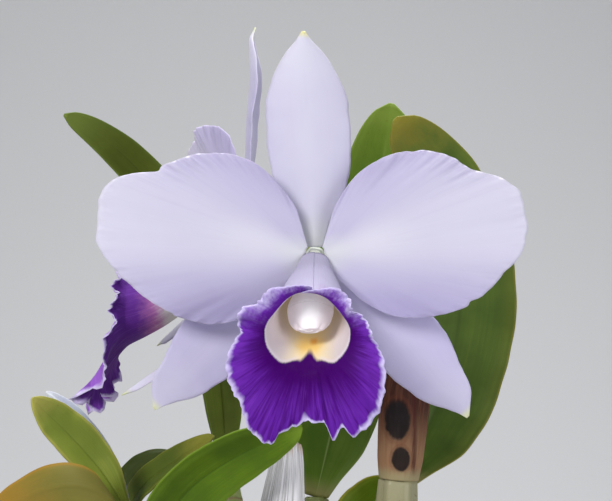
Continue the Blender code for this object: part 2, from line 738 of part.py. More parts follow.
def lip_place(droop, size):
    """The lip: rolled round the column at its base, then flared into side lobes and a split midlobe."""
    crown, floor, half = (column_of(LIP_TUBE, number) for number in (1, 2, 3))
    hang, lean_out, ruffle = droop

    def tube_ring(forward, way, step_out):
        top = value_on(crown, forward)
        low = value_on(floor, forward)
        wide = value_on(half, forward) + step_out
        tall = (top - low) / 2 + step_out
        return Vector((math.sin(way) * wide, (top + low) / 2 - math.cos(way) * tall, forward))

    def place(across, along):
        spare = between(-LIP_SLIT, LIP_OVERLAP, eased(0.2, 0.5, along))
        degrees = across * (180 + spare)
        way = math.radians(degrees)
        lap = LIP_LAP_OVER if across < 0 else -LIP_LAP_UNDER
        lap *= eased(120, 178, abs(degrees)) * eased(0.02, 0.2, along) * (1 + 0.5 * eased(0.5, 0.9, along))
        mouth = LIP_TUBE[-1][0]
        if along <= LIP_MOUTH:
            spot = tube_ring(between(LIP_TUBE[0][0], mouth, along / LIP_MOUTH), way, lap)
        else:
            part = (along - LIP_MOUTH) / (1 - LIP_MOUTH)
            inner = tube_ring(mouth, way, lap)
            midlobe = 1 - eased(*LIP_MIDLOBE, abs(degrees))
            reach = value_on(LIP_REACH, degrees) + lap + hang * midlobe
            edge_forward = value_on(LIP_FORWARD, abs(degrees)) + lean_out * midlobe
            edge = Vector((math.sin(way) * reach, LIP_MIDDLE - math.cos(way) * reach, edge_forward))
            knee = inner.lerp(edge, 0.35)
            knee.z = between(mouth, edge_forward, 0.85)
            spot = inner * (1 - part) ** 2 + knee * 2 * part * (1 - part) + edge * part**2
            frill = LIP_FRILL * part**2 + ruffle * midlobe * part**6
            frill *= 1 - 0.75 * eased(120, 165, abs(degrees))
            spot.z += frill * math.sin(math.radians(degrees) * LIP_FRILLS)
        return flower_point(spot.x + LIP_DRIFT * spot.z, spot.y, spot.z, size)

    return place


def column_place(start, end, size):
    """A stretch of the column and its cap: a club that bends down and widens to a hood."""
    height, wide, thick = (column_of(COLUMN, number) for number in (1, 2, 3))
    first = COLUMN[0][0]
    last = COLUMN[-1][0]

    def place(turn, along):
        part = between(start, end, along)
        forward = between(first, last, part)
        before = max(forward - 0.1, first)
        after = min(forward + 0.1, last)
        slope = (value_on(height, after) - value_on(height, before)) / (after - before)
        lean = math.atan(slope) * eased(0, 0.3, part)
        right = math.cos(turn) * value_on(wide, forward) + LIP_DRIFT * forward
        rise = math.sin(turn) * value_on(thick, forward)
        up = value_on(height, forward) + rise * math.cos(lean)
        return flower_point(right, up, forward - rise * math.sin(lean), size)

    return place


def build_bloom(name, collection, materials):
    """One bloom's eight pieces, parented to an empty at the flower's middle."""
    bloom = BLOOMS[name]
    size = bloom["size"]
    home = bpy.data.objects.new(name, None)
    home.location = Vector(bloom["middle"]) * MM
    home.rotation_euler.z = math.radians(bloom["facing"])
    collection.objects.link(home)
    curls = bloom["sepal_curls"]
    blades = [("sepal_top", 4, 12, dorsal_place(*bloom["sepal_top"], size), "sepal")]
    sides = (("left", -1, LATERAL_ANGLE_LEFT), ("right", 1, LATERAL_ANGLE_RIGHT))
    for number, (side, hand, angle) in enumerate(sides):
        reach, swing, lift, bend = (
            bloom[kind][number] for kind in ("petal_reach", "petal_swing", "petal_lift", "bend")
        )
        petal = petal_place(hand, reach, swing, lift, bend, size)
        sepal = ribbon_place(*curls[number], size) if curls else lateral_place(hand, angle, size)
        blades.append((f"petal_{side}", 18, 6, petal, "petal"))
        blades.append((f"sepal_{side}", 4, 12, sepal, "sepal"))
    made = [
        sheet(f"{name}_{piece}", across, along, place, TEPAL_THICKNESS, collection, materials[colour])
        for piece, across, along, place, colour in blades
    ]
    made.append(
        sheet(f"{name}_lip", *bloom["lip_grid"], lip_place(bloom["lip_droop"], size), LIP_THICKNESS,
              collection, materials["lip"])
    )
    for piece, start, end, steps in (("column", 0, COLUMN_END, 6), ("anther_cap", CAP_FROM, 1, 3)):
        place = column_place(start, end, size)
        made.append(loft(f"{name}_{piece}", 14, steps, place, collection, materials["column"]))
    for piece in made:
        piece.parent = home


def ovary_path(name):
    """From the knob in the flower's middle, back along its axis and round to the fork of the stem."""
    bloom = BLOOMS[name]
    middle = Vector(bloom["middle"])
    back = Matrix.Rotation(math.radians(bloom["facing"]), 3, "Z") @ Vector((0, 1, 0))
    fork = Vector(STEM_FORK) - Vector((0, 0, bloom["joins"]))
    straight = [middle + back * far * bloom["size"] for far in (-1.5, 2.8, 5, 14)]
    bend = straight[-1].lerp(fork, 0.45) + Vector((0, 0, 5)) + back * 4
    return straight + smooth_path([middle + back * 20 + Vector((0, 0, -1)), bend, fork], 3)


def build_stem(collection, material):
    """The flower stem: a stalk that forks into two pedicels, each ending in an ovary and a knob."""
    stalk = smooth_path(STALK, 4)
    stem = tube("flower_stem", stalk, [STALK_RADIUS] * len(stalk), 8, collection, material)
    branches = []
    for name in BLOOMS:
        path = ovary_path(name)
        radii = [KNOB_RADIUS, KNOB_RADIUS, OVARY_RADIUS, OVARY_RADIUS]
        radii += [between(OVARY_RADIUS, PEDICEL_RADIUS, min(1, i / 3)) for i in range(len(path) - 4)]
        branches.append(tube(f"{name} ovary", path, radii, 8, collection, material))
    join_by_union(stem, branches)
    return stem


def make_materials():
    return {
        "clay": new_material("terracotta", (0.42, 0.17, 0.09), 0.85),
        "bark": new_material("fir bark", (0.14, 0.07, 0.035), 0.9),
        "rhizome": new_material("rhizome and roots", (0.3, 0.31, 0.18), 0.7),
        "bulb": new_material("pseudobulb skin", (0.24, 0.32, 0.11), 0.45),
        "dry white sheath": new_material("dry white sheath", (0.55, 0.55, 0.55), 0.8),
        "reddish sheath": new_material("reddish sheath", (0.26, 0.12, 0.08), 0.75),
        "spathe": new_material("brown spathe", (0.16, 0.07, 0.035), 0.6),
        "leaf": new_material("leaf", (0.09, 0.19, 0.03), 0.4),
        "stem": new_material("flower stem", (0.3, 0.36, 0.17), 0.5),
        "petal": new_material("petal", (0.7, 0.66, 0.86), 0.5),
        "sepal": new_material("sepal", (0.68, 0.65, 0.84), 0.5),
        "lip": new_material("purple lip", (0.13, 0.01, 0.3), 0.55),
        "column": new_material("column", (0.85, 0.79, 0.76), 0.4),
    }


def main():
    clear_scene()
    orchid = new_collection("cattleya orchid")
    cutters = new_collection("cutters")
    materials = make_materials()
    build_pot(orchid, cutters, materials["clay"])
    build_rhizome(orchid, materials["rhizome"])
    build_bark(orchid, materials["bark"])
    for name in BULBS:
        build_bulb(name, orchid, materials["bulb"])
    for name in SHEATHS:
        build_sheath(name, orchid, materials)
    build_spathe(orchid, materials["spathe"])
    for name in LEAVES:
        build_leaf(name, orchid, materials["leaf"])
    build_stem(orchid, materials["stem"])
    for name in BLOOMS:
        build_bloom(name, orchid, materials)


main()
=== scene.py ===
# %% [markdown]
# # A cattleya orchid in its clay pot
# The plant is a compact cattleya. Its main bloom is flat and pale lavender, with a frilled purple lip. A
# second bloom behind it is seen from its side. Thick leaves stand on slim, swollen stems called
# pseudobulbs.
#
# The plain solids of every piece are loaded first. Each blade, stem and chip is then made again over its
# solid with finer curves, and gets a finish built from nodes. Lengths are millimetres until a mesh is
# made.

import json
import math
import random

import bmesh
import bpy
import numpy as np
from mathutils import Matrix, Vector

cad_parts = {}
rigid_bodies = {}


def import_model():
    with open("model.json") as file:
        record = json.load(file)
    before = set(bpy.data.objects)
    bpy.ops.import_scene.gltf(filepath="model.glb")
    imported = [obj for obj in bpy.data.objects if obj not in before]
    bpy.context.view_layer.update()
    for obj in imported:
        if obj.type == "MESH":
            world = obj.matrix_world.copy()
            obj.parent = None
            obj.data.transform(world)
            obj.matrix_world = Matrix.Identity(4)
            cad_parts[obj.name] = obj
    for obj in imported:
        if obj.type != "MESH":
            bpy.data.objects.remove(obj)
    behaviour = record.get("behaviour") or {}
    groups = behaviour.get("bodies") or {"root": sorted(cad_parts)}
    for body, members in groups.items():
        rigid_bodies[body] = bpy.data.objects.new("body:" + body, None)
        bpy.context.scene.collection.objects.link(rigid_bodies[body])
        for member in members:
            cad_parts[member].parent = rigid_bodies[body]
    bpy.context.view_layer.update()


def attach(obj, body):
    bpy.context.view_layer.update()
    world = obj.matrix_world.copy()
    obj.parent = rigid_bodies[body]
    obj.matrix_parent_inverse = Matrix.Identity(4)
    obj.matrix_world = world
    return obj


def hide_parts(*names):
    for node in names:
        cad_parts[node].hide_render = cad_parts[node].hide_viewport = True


MM = 0.001
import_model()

# %% [markdown]
# ## Camera
# The photograph was taken level with the blooms and from close by. How near is judged from how much
# larger the main bloom looks than the leaves behind it, so the camera stands 435 mm in front of it, and a
# 100 mm lens frames it as the photograph does. A longer lens from farther away could frame the bloom
# alike, but it would flatten the depth between the two blooms.

# %% Camera
CAMERA_PLACE = (4, -475, 245)
view = bpy.data.cameras.new("photo_camera")
view.lens = 100
view.sensor_width = 36
view.clip_end = 20
camera = bpy.data.objects.new("photo_camera", view)
camera.location = Vector(CAMERA_PLACE) * MM
camera.rotation_euler = (math.radians(90), 0, 0)
bpy.context.scene.collection.objects.link(camera)
bpy.context.scene.camera = camera
bpy.context.scene.view_settings.view_transform = "Standard"
print("camera", CAMERA_PLACE, "lens", view.lens)

# %% [markdown]
# ## Values that can be written as sums
# A finish is a small chain of nodes. Wrapping a socket in a class with plus, minus and times makes the
# chain read like the sum that it is. Numbers go through Math nodes, and colours through Mix and Vector
# Math.


# %% The wire class
class Wire:
    """A value in a finish's node tree, which can be added, multiplied and mixed."""

    def __init__(self, tree, socket=None):
        self.tree = tree
        self.socket = socket

    def plug(self, socket, value):
        if isinstance(value, Wire):
            self.tree.links.new(value.socket, socket)
        elif hasattr(socket.default_value, "__len__"):
            count = len(socket.default_value)
            values = list(value) if hasattr(value, "__len__") else [value] * count
            socket.default_value = (values + [1.0] * count)[:count]
        else:
            socket.default_value = value

    def node(self, kind, settings, inputs, output=0):
        made = self.tree.nodes.new("ShaderNode" + kind)
        for name, value in settings.items():
            if name == "stops":
                ramp = made.color_ramp
                for index, (place, colour) in enumerate(value):
                    stop = ramp.elements[index] if index < 2 else ramp.elements.new(place)
                    stop.position = place
                    stop.color = (*colour, 1)
            else:
                setattr(made, name, value)
        for name, value in inputs.items():
            self.plug(made.inputs[name], value)
        return Wire(self.tree, made.outputs[output])

    def sum(self, operation, first, second=0.0):
        vector = any(isinstance(v, Wire) and v.socket.type in ("VECTOR", "RGBA") for v in (first, second))
        kind = "VectorMath" if vector else "Math"
        return self.node(kind, {"operation": operation}, {0: first, 1: second})

    def __add__(self, other):
        return self.sum("ADD", self, other)

    __radd__ = __add__

    def __sub__(self, other):
        return self.sum("SUBTRACT", self, other)

    def __rsub__(self, other):
        return self.sum("SUBTRACT", other, self)

    def __mul__(self, other):
        return self.sum("MULTIPLY", self, other)

    __rmul__ = __mul__

    def __truediv__(self, other):
        return self.sum("DIVIDE", self, other)

    def __pow__(self, other):
        return self.sum("POWER", self, other)

    def __abs__(self):
        return self.apply("ABSOLUTE")

    def apply(self, operation):
        """An operation on this value alone, such as its sine."""
        return self.sum(operation, self)

    def higher(self, other):
        return self.sum("MAXIMUM", self, other)

    def rise(self, low, high, start=0.0, end=1.0):
        """From start to end, smoothly, as the value goes from low to high."""
        return self.node(
            "MapRange", {"interpolation_type": "SMOOTHSTEP"},
            {"Value": self, "From Min": low, "From Max": high, "To Min": start, "To Max": end},
        )

    def hill(self, middle, width):
        """1 where the value is at the middle, falling smoothly to 0 at the width away from it."""
        return abs(self - middle).rise(0, width, 1, 0)

    def blend(self, first, second):
        """The first colour where this mask is 0 and the second where it is 1."""
        return self.node("Mix", {"data_type": "RGBA"}, {0: self, 6: first, 7: second}, 2)

    def ramp(self, *stops):
        return self.node("ValToRGB", {"stops": stops}, {"Fac": self})


def noted(wire, *names):
    """The numbers of these names that the mesh stores at each of its points."""
    found = [wire.node("Attribute", {"attribute_name": name}, {}, "Fac") for name in names]
    return found if len(found) > 1 else found[0]


def own_place(wire, axes):
    """The X, Y or Z of a point on the piece, in its own metres."""
    place = wire.node("TexCoord", {}, {}, "Object")
    found = [wire.node("SeparateXYZ", {}, {"Vector": place}, axis) for axis in axes]
    return found if len(found) > 1 else found[0]


def grain(wire, scale, detail=2.0, stretch=(1, 1, 1), place=None, rough=0.5):
    """Noise from 0 to 1, on the piece's own metres unless a place is given."""
    place = place or wire.node("TexCoord", {}, {}, "Object")
    return wire.node(
        "TexNoise", {}, {"Vector": place * stretch, "Scale": scale, "Detail": detail, "Roughness": rough}
    )


def triple(wire, x, y=0.0, z=0.0):
    return wire.node("CombineXYZ", {}, {"X": x, "Y": y, "Z": z})


def new_finish(name, **constants):
    """A material with the constants on its shader's own sockets, and a wire to build its colours."""
    finish = bpy.data.materials.new(name)
    finish.use_nodes = True
    wire = Wire(finish.node_tree)
    shader = finish.node_tree.nodes["Principled BSDF"]
    for socket, value in constants.items():
        wire.plug(shader.inputs[socket.replace("_", " ")], value)
    return finish, wire, shader


def paint(wire, shader, colour, roughness=None, height=None, strength=0.5, depth=0.3):
    """Sends the colour, roughness and relief to the shader. The relief's depth is in millimetres."""
    wire.plug(shader.inputs["Base Color"], colour)
    if roughness is not None:
        wire.plug(shader.inputs["Roughness"], roughness)
    if height is not None:
        bump = wire.node("Bump", {}, {"Height": height, "Strength": strength, "Distance": depth * MM})
        wire.plug(shader.inputs["Normal"], bump)


def rgb(*parts):
    """A colour in linear light, from the 0 to 255 numbers that a picture holds."""
    return tuple(((part / 255 + 0.055) / 1.055) ** 2.4 if part > 10 else part / 3294 for part in parts)


print("lavender in linear light", [round(v, 3) for v in rgb(215, 212, 236)])

# %% [markdown]
# ## Curves through a few measured places
# A petal's outline or a stem's thickness is best told by a few places along it. The curve between them is
# a cubic that never overshoots, so a narrow waist doesn't turn into a pinch. All helpers work on whole
# grids of numbers at once, which is why a petal of several thousand points is made in a blink.


# %% Curve helpers
def between(start, end, part):
    return start + (end - start) * part


def eased(low, high, at):
    part = np.clip((at - low) / (high - low), 0.0, 1.0)
    return part * part * (3 - 2 * part)


def value_on(stations, at):
    """The value on a smooth curve through (place, value) stations, for a number or a grid."""
    places, values = np.array(stations, float).T
    steep = np.diff(values) / np.diff(places)
    slopes = np.concatenate([steep[:1], np.zeros(len(steep) - 1), steep[-1:]])
    same_way = steep[:-1] * steep[1:] > 0
    mean = 2 * steep[:-1] * steep[1:] / np.where(same_way, steep[:-1] + steep[1:], 1)
    slopes[1:-1] = np.where(same_way, mean, 0)
    at = np.clip(at, places[0], places[-1])
    index = np.clip(np.searchsorted(places, at) - 1, 0, len(steep) - 1)
    width = places[index + 1] - places[index]
    t = (at - places[index]) / width
    return (
        values[index] * (1 + 2 * t) * (1 - t) ** 2 + slopes[index] * width * t * (1 - t) ** 2
        + values[index + 1] * t * t * (3 - 2 * t) + slopes[index + 1] * width * t * t * (t - 1)
    )


def swell_at(at, middle, wide):
    """A soft bell: 1 at the middle and almost nothing at twice its width away."""
    return np.exp(-(((at - middle) / wide) ** 2))


def column_of(stations, number):
    return tuple((row[0], row[number]) for row in stations)


def points(x, y, z):
    """Grids of x, y and z as one grid of points."""
    return np.stack(np.broadcast_arrays(x, y, z), axis=-1)


def unit(vectors):
    return vectors / np.maximum(np.linalg.norm(vectors, axis=-1, keepdims=True), 1e-9)


def bezier(corners, t):
    a, b, c, d = (np.array(corner, float) for corner in corners)
    t = np.asarray(t, float)[..., None]
    s = 1 - t
    return a * s**3 + b * 3 * s * s * t + c * 3 * s * t * t + d * t**3


def bezier_way(corners, t):
    step = 0.01
    return unit(bezier(corners, np.minimum(1, t + step)) - bezier(corners, np.maximum(0, t - step)))


def ripple(at, pitch, seed=0.0):
    """An uneven wave from -1 to 1, made of three sines whose lengths don't divide."""
    turn = at * math.tau / pitch + seed * 1.7
    return (np.sin(turn) + 0.6 * np.sin(turn * 1.73 + seed) + 0.45 * np.sin(turn * 2.61 + 2 * seed)) / 1.6


print("half way up a 3-station curve:", round(float(value_on(((0, 0), (0.5, 2), (1, 3)), 0.25)), 3))

# %% [markdown]
# ## From a grid of points to a mesh
# Petals, sepals, leaves and lips are all thin blades. Each is a grid of points with a front and a back
# surface, a little apart, which close in towards the margin as living tissue does. Every point also keeps
# a few numbers, such as how far it is across and along the blade, and the finishes paint veins, tips and
# margins from them.


# %% Mesh helpers
def new_mesh(name, places, faces, notes=None):
    mesh = bpy.data.meshes.new(name)
    mesh.from_pydata((places * MM).tolist(), [], faces)
    for note, values in (notes or {}).items():
        layer = mesh.attributes.new(note, "FLOAT", "POINT")
        layer.data.foreach_set("value", np.asarray(values, np.float32).ravel())
    mesh.shade_smooth()
    return mesh


def place_piece(solid, mesh, finish):
    """Puts a finished mesh in the scene, in place of its plain solid."""
    piece = bpy.data.objects.new(solid + "_fine", mesh)
    bpy.context.scene.collection.objects.link(piece)
    mesh.materials.append(finish)
    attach(piece, "root")
    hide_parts(solid)


def grid_faces(first, rows, columns, turned=False):
    """Four-sided faces over a grid of points whose first point has the given number."""
    corner = first + (np.arange(rows - 1)[:, None] * columns + np.arange(columns - 1)).ravel()
    quads = np.stack([corner, corner + columns, corner + columns + 1, corner + 1], axis=1)
    return (quads[:, ::-1] if turned else quads).tolist()


def ring_faces(sides, steps):
    """Four-sided faces round a body whose points are counted up one side after another."""
    step = np.arange(steps - 1)
    corner = np.arange(sides)[:, None] * steps + step
    beside = (np.arange(sides)[:, None] + 1) % sides * steps + step
    return np.stack([corner, beside, beside + 1, corner + 1], axis=-1).reshape(-1, 4).tolist()


def blade_mesh(name, rows, columns, place, thickness, faces_way=None, notes=None, move=None):
    """A blade over a grid: across is -1 to 1 and along 0 to 1. faces_way is where its front looks."""
    across, along = np.meshgrid(np.linspace(-1, 1, rows), np.linspace(0, 1, columns), indexing="ij")
    middle = place(across, along)
    normal = unit(np.cross(np.gradient(middle, axis=0), np.gradient(middle, axis=1)))
    turned = faces_way is not None and float((normal * np.array(faces_way, float)).sum()) < 0
    if turned:
        normal = -normal
    half = (thickness(across, along) / 2)[..., None]
    count = rows * columns
    places = np.concatenate([middle + normal * half, middle - normal * half]).reshape(-1, 3)
    faces = grid_faces(0, rows, columns, turned) + grid_faces(count, rows, columns, not turned)
    edge = [i * columns for i in range(rows)] + [(rows - 1) * columns + j for j in range(1, columns)]
    edge += [i * columns + columns - 1 for i in range(rows - 2, -1, -1)] + list(range(columns - 2, 0, -1))
    for start, end in zip(edge, edge[1:] + edge[:1]):
        strip = (start, start + count, end + count, end)
        faces.append(strip[::-1] if turned else strip)
    kept = {"across": across, "along": along, "margin": np.minimum(1 - np.abs(across), 1 - along)}
    if notes is not None:
        kept.update(notes(across, along))
    doubled = {note: np.concatenate([values.ravel()] * 2) for note, values in kept.items()}
    doubled["side"] = np.repeat([1.0, -1.0], count)
    if move is not None:
        places = move(places)
    return new_mesh(name, places, faces, doubled)


def round_mesh(name, sides, steps, place, move=None):
    """A closed body round an axis: turn goes once round, along from 0 to 1, and both ends are closed."""
    turn, along = np.meshgrid(np.arange(sides) * math.tau / sides, np.linspace(0, 1, steps), indexing="ij")
    places = place(turn, along).reshape(-1, 3)
    faces = ring_faces(sides, steps)
    ring = places.reshape(sides, steps, 3)
    ends = np.stack([ring[:, 0].mean(0), ring[:, -1].mean(0)])
    low = sides * steps
    for side in range(sides):
        following = (side + 1) % sides
        faces.append((low, following * steps, side * steps))
        faces.append((low + 1, side * steps + steps - 1, following * steps + steps - 1))
    places = np.concatenate([places, ends])
    kept = {"turn": turn, "along": along}
    kept = {note: np.concatenate([values.ravel(), values[0, [0, -1]]]) for note, values in kept.items()}
    if move is not None:
        places = move(places)
    return face_outward(new_mesh(name, places, faces, kept))


def face_outward(mesh, weld=0.0):
    """Joins points that are no farther apart than the weld, and turns all faces outward."""
    bm = bmesh.new()
    bm.from_mesh(mesh)
    if weld:
        bmesh.ops.remove_doubles(bm, verts=bm.verts, dist=weld)
    bmesh.ops.recalc_face_normals(bm, faces=bm.faces)
    bm.to_mesh(mesh)
    bm.free()
    mesh.shade_smooth()
    return mesh


print("mesh helpers ready")

# %% [markdown]
# ## Petals and sepals
# A cattleya's flower has three narrow outer blades, the sepals, and two wide petals that lie between
# them. All are thin and soft, with fine veins that run from the flower's middle to the margin. The
# petal's grid is a fan: rays leave its narrow foot, and the outline is the reach of each ray. That keeps
# every vein on a ray, so the same two numbers shape the blade and paint its veins. Small puckers near the
# top of each petal and low pleats along its lower edge are added to the fan's depth.

# %% Petal and sepal shapes
FLOWER_FOOT = 2.6
PETAL_LOW_ANGLE = -43.0
PETAL_TOP_ANGLE = 69.0
# Each petal's reach from the flower's middle, at angles above the horizontal
PETAL_REACH_LEFT = (
    (-43, 17), (-38, 26.4), (-27, 35.5), (-15.5, 42.7), (-4.4, 50), (4.6, 55.3), (12, 56), (17, 56.4),
    (22, 53.6), (27, 47.8), (31, 44.9), (39, 40.8), (47, 36.1), (57, 28.8), (64, 20.3), (69, 13),
)
PETAL_REACH_RIGHT = (
    (-43, 16), (-38, 23.5), (-27, 33.1), (-16, 41.6), (-5, 47.8), (3.5, 53.1), (9, 54.2), (16, 54.3),
    (22, 52), (26.7, 47.6), (31, 44.8), (39, 41.6), (47, 37), (57, 29.4), (64, 22.3), (69, 13.6),
)
PETAL_REACH_FAR = (
    (-43, 17), (-38, 26.4), (-27, 35.5), (-15.5, 42.7), (-4.4, 46.5), (4.6, 47.5), (12, 46.5), (20.9, 43.7),
    (33.3, 41.6), (49, 35.7), (57, 30.9), (63, 25.7), (69, 18),
)
PETAL_REACH_NEAR = (
    (-43, 15), (-27, 31), (-16, 39.5), (-5, 45.5), (3.5, 49), (16, 49), (26.7, 43.5), (31, 42),
    (39, 39), (47, 35), (57, 28), (64, 21.3), (69, 13.6),
)
PETAL_FLAT = ((-43, 0), (69, 0))
PETAL_FAR_SWING = ((-43, 3), (10, 4), (21, 5), (33, 5.3), (49, 0.8), (57, -2.2), (69, -3.4))
# For the left and right petal: where its rim is notched, how deep and how wide, and where it puckers
PETAL_NOTCHES = {
    -1: ((28.7, 1.1, 1.3), (-21, 0.35, 1.2)),
    1: ((-16, 0.9, 1.2), (29, 0.5, 1.4), (47, 0.35, 1.5)),
}
PETAL_PUCKERS = {-1: (36, 8, 0.35), 1: (33, 9, 0.3)}
PUCKER_TURNS = 95
PETAL_RISE = 0.17
PETAL_FALL = 0.0017
PETAL_EDGE_BACK = 0.9
PETAL_WAVES = 6
PETAL_WAVE = 0.45
PETAL_CRIMP = 0.16
DORSAL_LEAN = -3.0
DORSAL_OUTLINE = (
    (0, 2.2), (0.1, 4.1), (0.2, 7.2), (0.34, 10), (0.5, 10.9), (0.66, 10.7), (0.8, 8.2), (0.9, 4.9),
    (0.96, 1.9), (1, 0.4),
)
DORSAL_TIP_CUP = 1.5
DORSAL_STRAIGHT = ((0, -1.8), (0.5, -2.6), (0.75, -3.6), (1, -5.0))
DORSAL_BENT = ((0, -1.8), (0.35, -3.0), (0.54, -3.3), (0.77, -4.1), (0.93, -3.8), (1, -5.2))
LATERAL_LENGTH = 57.0
LATERAL_BOW = 2.4
LATERAL_HOOK = 1.4
LATERAL_HOOK_AT = 0.92
LATERAL_HOOK_WIDE = 0.075
LATERAL_OUTLINE = (
    (0, 1.5), (0.12, 3.6), (0.38, 9.2), (0.6, 9.2), (0.75, 7.5), (0.85, 5.6), (0.92, 3.7), (0.96, 2.0),
    (1, 0.4),
)
LATERAL_ANGLES = {-1: 223.8, 1: 313.3}
SEPAL_MIDRIB = 0.2


def flower_points(right, up, forward, size):
    """From the flower's own right, up and forward to its local X, Y and Z."""
    return points(right, -forward, up) * size


def swung(right, forward, bend):
    """Bends a flat blade forward about the flower's upright axis, keeping its length."""
    turn = right * bend
    return np.sin(turn) / bend, forward + (1 - np.cos(turn)) / bend


def midrib(across, along, wide=0.2, foot=0.3):
    """How far the midrib stands out: a soft line that fades at the foot and towards the tip."""
    return swell_at(across, 0, wide) * eased(0, foot, along) * (1 - along)


def petal_place(hand, table, swing, lift, bend, size):
    middle, width, height = PETAL_PUCKERS[hand]

    def place(across, along):
        angle = between(PETAL_LOW_ANGLE, PETAL_TOP_ANGLE, (across + 1) / 2)
        rim = value_on(table, angle) * (1 + 0.004 * ripple(angle, 9, hand))
        for notch, deep, wide in PETAL_NOTCHES[hand]:
            rim = rim - deep * swell_at(angle, notch, wide)
        reach = between(FLOWER_FOOT, rim, along)
        foot_spread = 0.9 * (1 - along) * eased(20, PETAL_TOP_ANGLE, angle)
        right = hand * (reach * np.cos(np.radians(angle + lift)) + foot_spread)
        up = reach * np.sin(np.radians(angle + lift))
        forward = 0.6 + PETAL_RISE * reach - PETAL_FALL * reach * reach
        forward -= PETAL_EDGE_BACK * np.abs(across) ** 2.5 * reach / 40
        forward += PETAL_WAVE * along**4 * np.sin(across * math.pi * PETAL_WAVES)
        forward += value_on(swing, angle) * along**2
        pucker = swell_at(angle, middle, width) * eased(0.78, 1, along)
        forward += height * pucker * np.sin(np.radians(angle - middle) * PUCKER_TURNS)
        pleats = eased(0.45, 1, along) * (0.1 + 0.16 * eased(-5, -35, angle) + 0.1 * eased(34, 44, angle))
        forward += pleats * ripple(angle + 4 * along, 13, hand + 2)
        forward += PETAL_CRIMP * eased(0.9, 1, along) * ripple(angle, 4.4, hand)
        right, forward = swung(right, forward, bend)
        return flower_points(right, up, forward, size)

    return place


def dorsal_place(length, bow, cup, size):
    def place(across, along):
        up = between(FLOWER_FOOT, length, along)
        half = value_on(DORSAL_OUTLINE, along) * (1 + 0.012 * ripple(along, 0.17, 3 + across))
        right = DORSAL_LEAN * (up / length) + across * half
        forward = value_on(bow, along) - cup * (1 + DORSAL_TIP_CUP * along**3) * half * across**2
        forward += 0.8 * SEPAL_MIDRIB * midrib(across, along)
        forward += 0.2 * across**2 * ripple(along + 0.05 * across, 0.3, 1)
        return flower_points(right, up, forward, size)

    return place


def lateral_place(hand, size):
    way = math.radians(LATERAL_ANGLES[hand])

    def place(across, along):
        reach = between(FLOWER_FOOT, LATERAL_LENGTH, along)
        half = value_on(LATERAL_OUTLINE, along) * (1 + 0.012 * ripple(along, 0.15, 5 * hand + across))
        hook = LATERAL_HOOK * swell_at(along, LATERAL_HOOK_AT, LATERAL_HOOK_WIDE)
        off = hand * (LATERAL_BOW * np.sin(math.pi * along) + hook) + across * half
        right = reach * math.cos(way) - off * math.sin(way)
        up = reach * math.sin(way) + off * math.cos(way)
        forward = -1.8 - 0.9 * along - 0.1 * half * across**2
        forward -= SEPAL_MIDRIB * midrib(across, along)
        forward += 0.25 * across**2 * ripple(along - 0.04 * across, 0.26, hand)
        return flower_points(right, up, forward, size)

    return place


def ribbon_place(spine, wide_way, size):
    """A lower sepal that curls along a spine, given in the flower's own right, up and forward."""
    wide_way = np.array(wide_way, float)

    def place(across, along):
        way = bezier_way(spine, along)
        wide = unit(wide_way - way * (way * wide_way).sum(-1, keepdims=True))
        half = value_on(LATERAL_OUTLINE, along) * (1 + 0.02 * ripple(along, 0.15, 5 + across))
        cup = 0.1 * half * across**2 + 0.15 * across**2 * ripple(along, 0.26, 2)
        spot = bezier(spine, along) + wide * (across * half)[..., None] + np.cross(way, wide) * cup[..., None]
        return flower_points(spot[..., 0], spot[..., 1], spot[..., 2], size)

    return place


def tepal_thickness(across, along):
    """Thickest near the flower's middle and along the midrib, thin at the margin."""
    rim = np.minimum(eased(0, 0.12, 1 - np.abs(across)), eased(0, 0.06, 1 - along))
    return between(0.14, 0.5 + 0.3 * (1 - along) * (1 - np.abs(across)), rim)


print("petal span", round(float(value_on(PETAL_REACH_LEFT, 12) + value_on(PETAL_REACH_RIGHT, 12)), 1), "mm")

# %% [markdown]
# ## The look of a petal
# A petal is not one colour. It is nearly white in a broad, soft band along its midline, which is a
# painted highlight where the blade bulges forward. It is deeper lavender in its lower half, partly its own
# colour and partly painted shade, and towards its upper edge. Its cells scatter light inside the blade, so
# a little subsurface light is set. The surface is a smooth satin: its veins are faint, and only the
# outermost rim is crimped, with painted shade in the valleys of the crimps. The veins are noise that is
# squeezed across the rays and stretched along them.


# %% Petal and sepal finishes
def blade_veins(wire, across, along, crowd, bend=1.0):
    """Streaks that run along a blade: 0 in the valleys and 1 on the veins."""
    place = triple(wire, across * crowd, along * 1.6 * bend, 3.7)
    return grain(wire, 1.0, detail=4, place=place, rough=0.6)


SATIN = {
    "Roughness": 0.55, "Subsurface_Weight": 0.12, "Subsurface_Scale": 0.001, "Subsurface_Radius": (1, 0.8, 1),
    "Specular_IOR_Level": 0.22, "Sheen_Weight": 0.08, "Sheen_Roughness": 0.5,
}


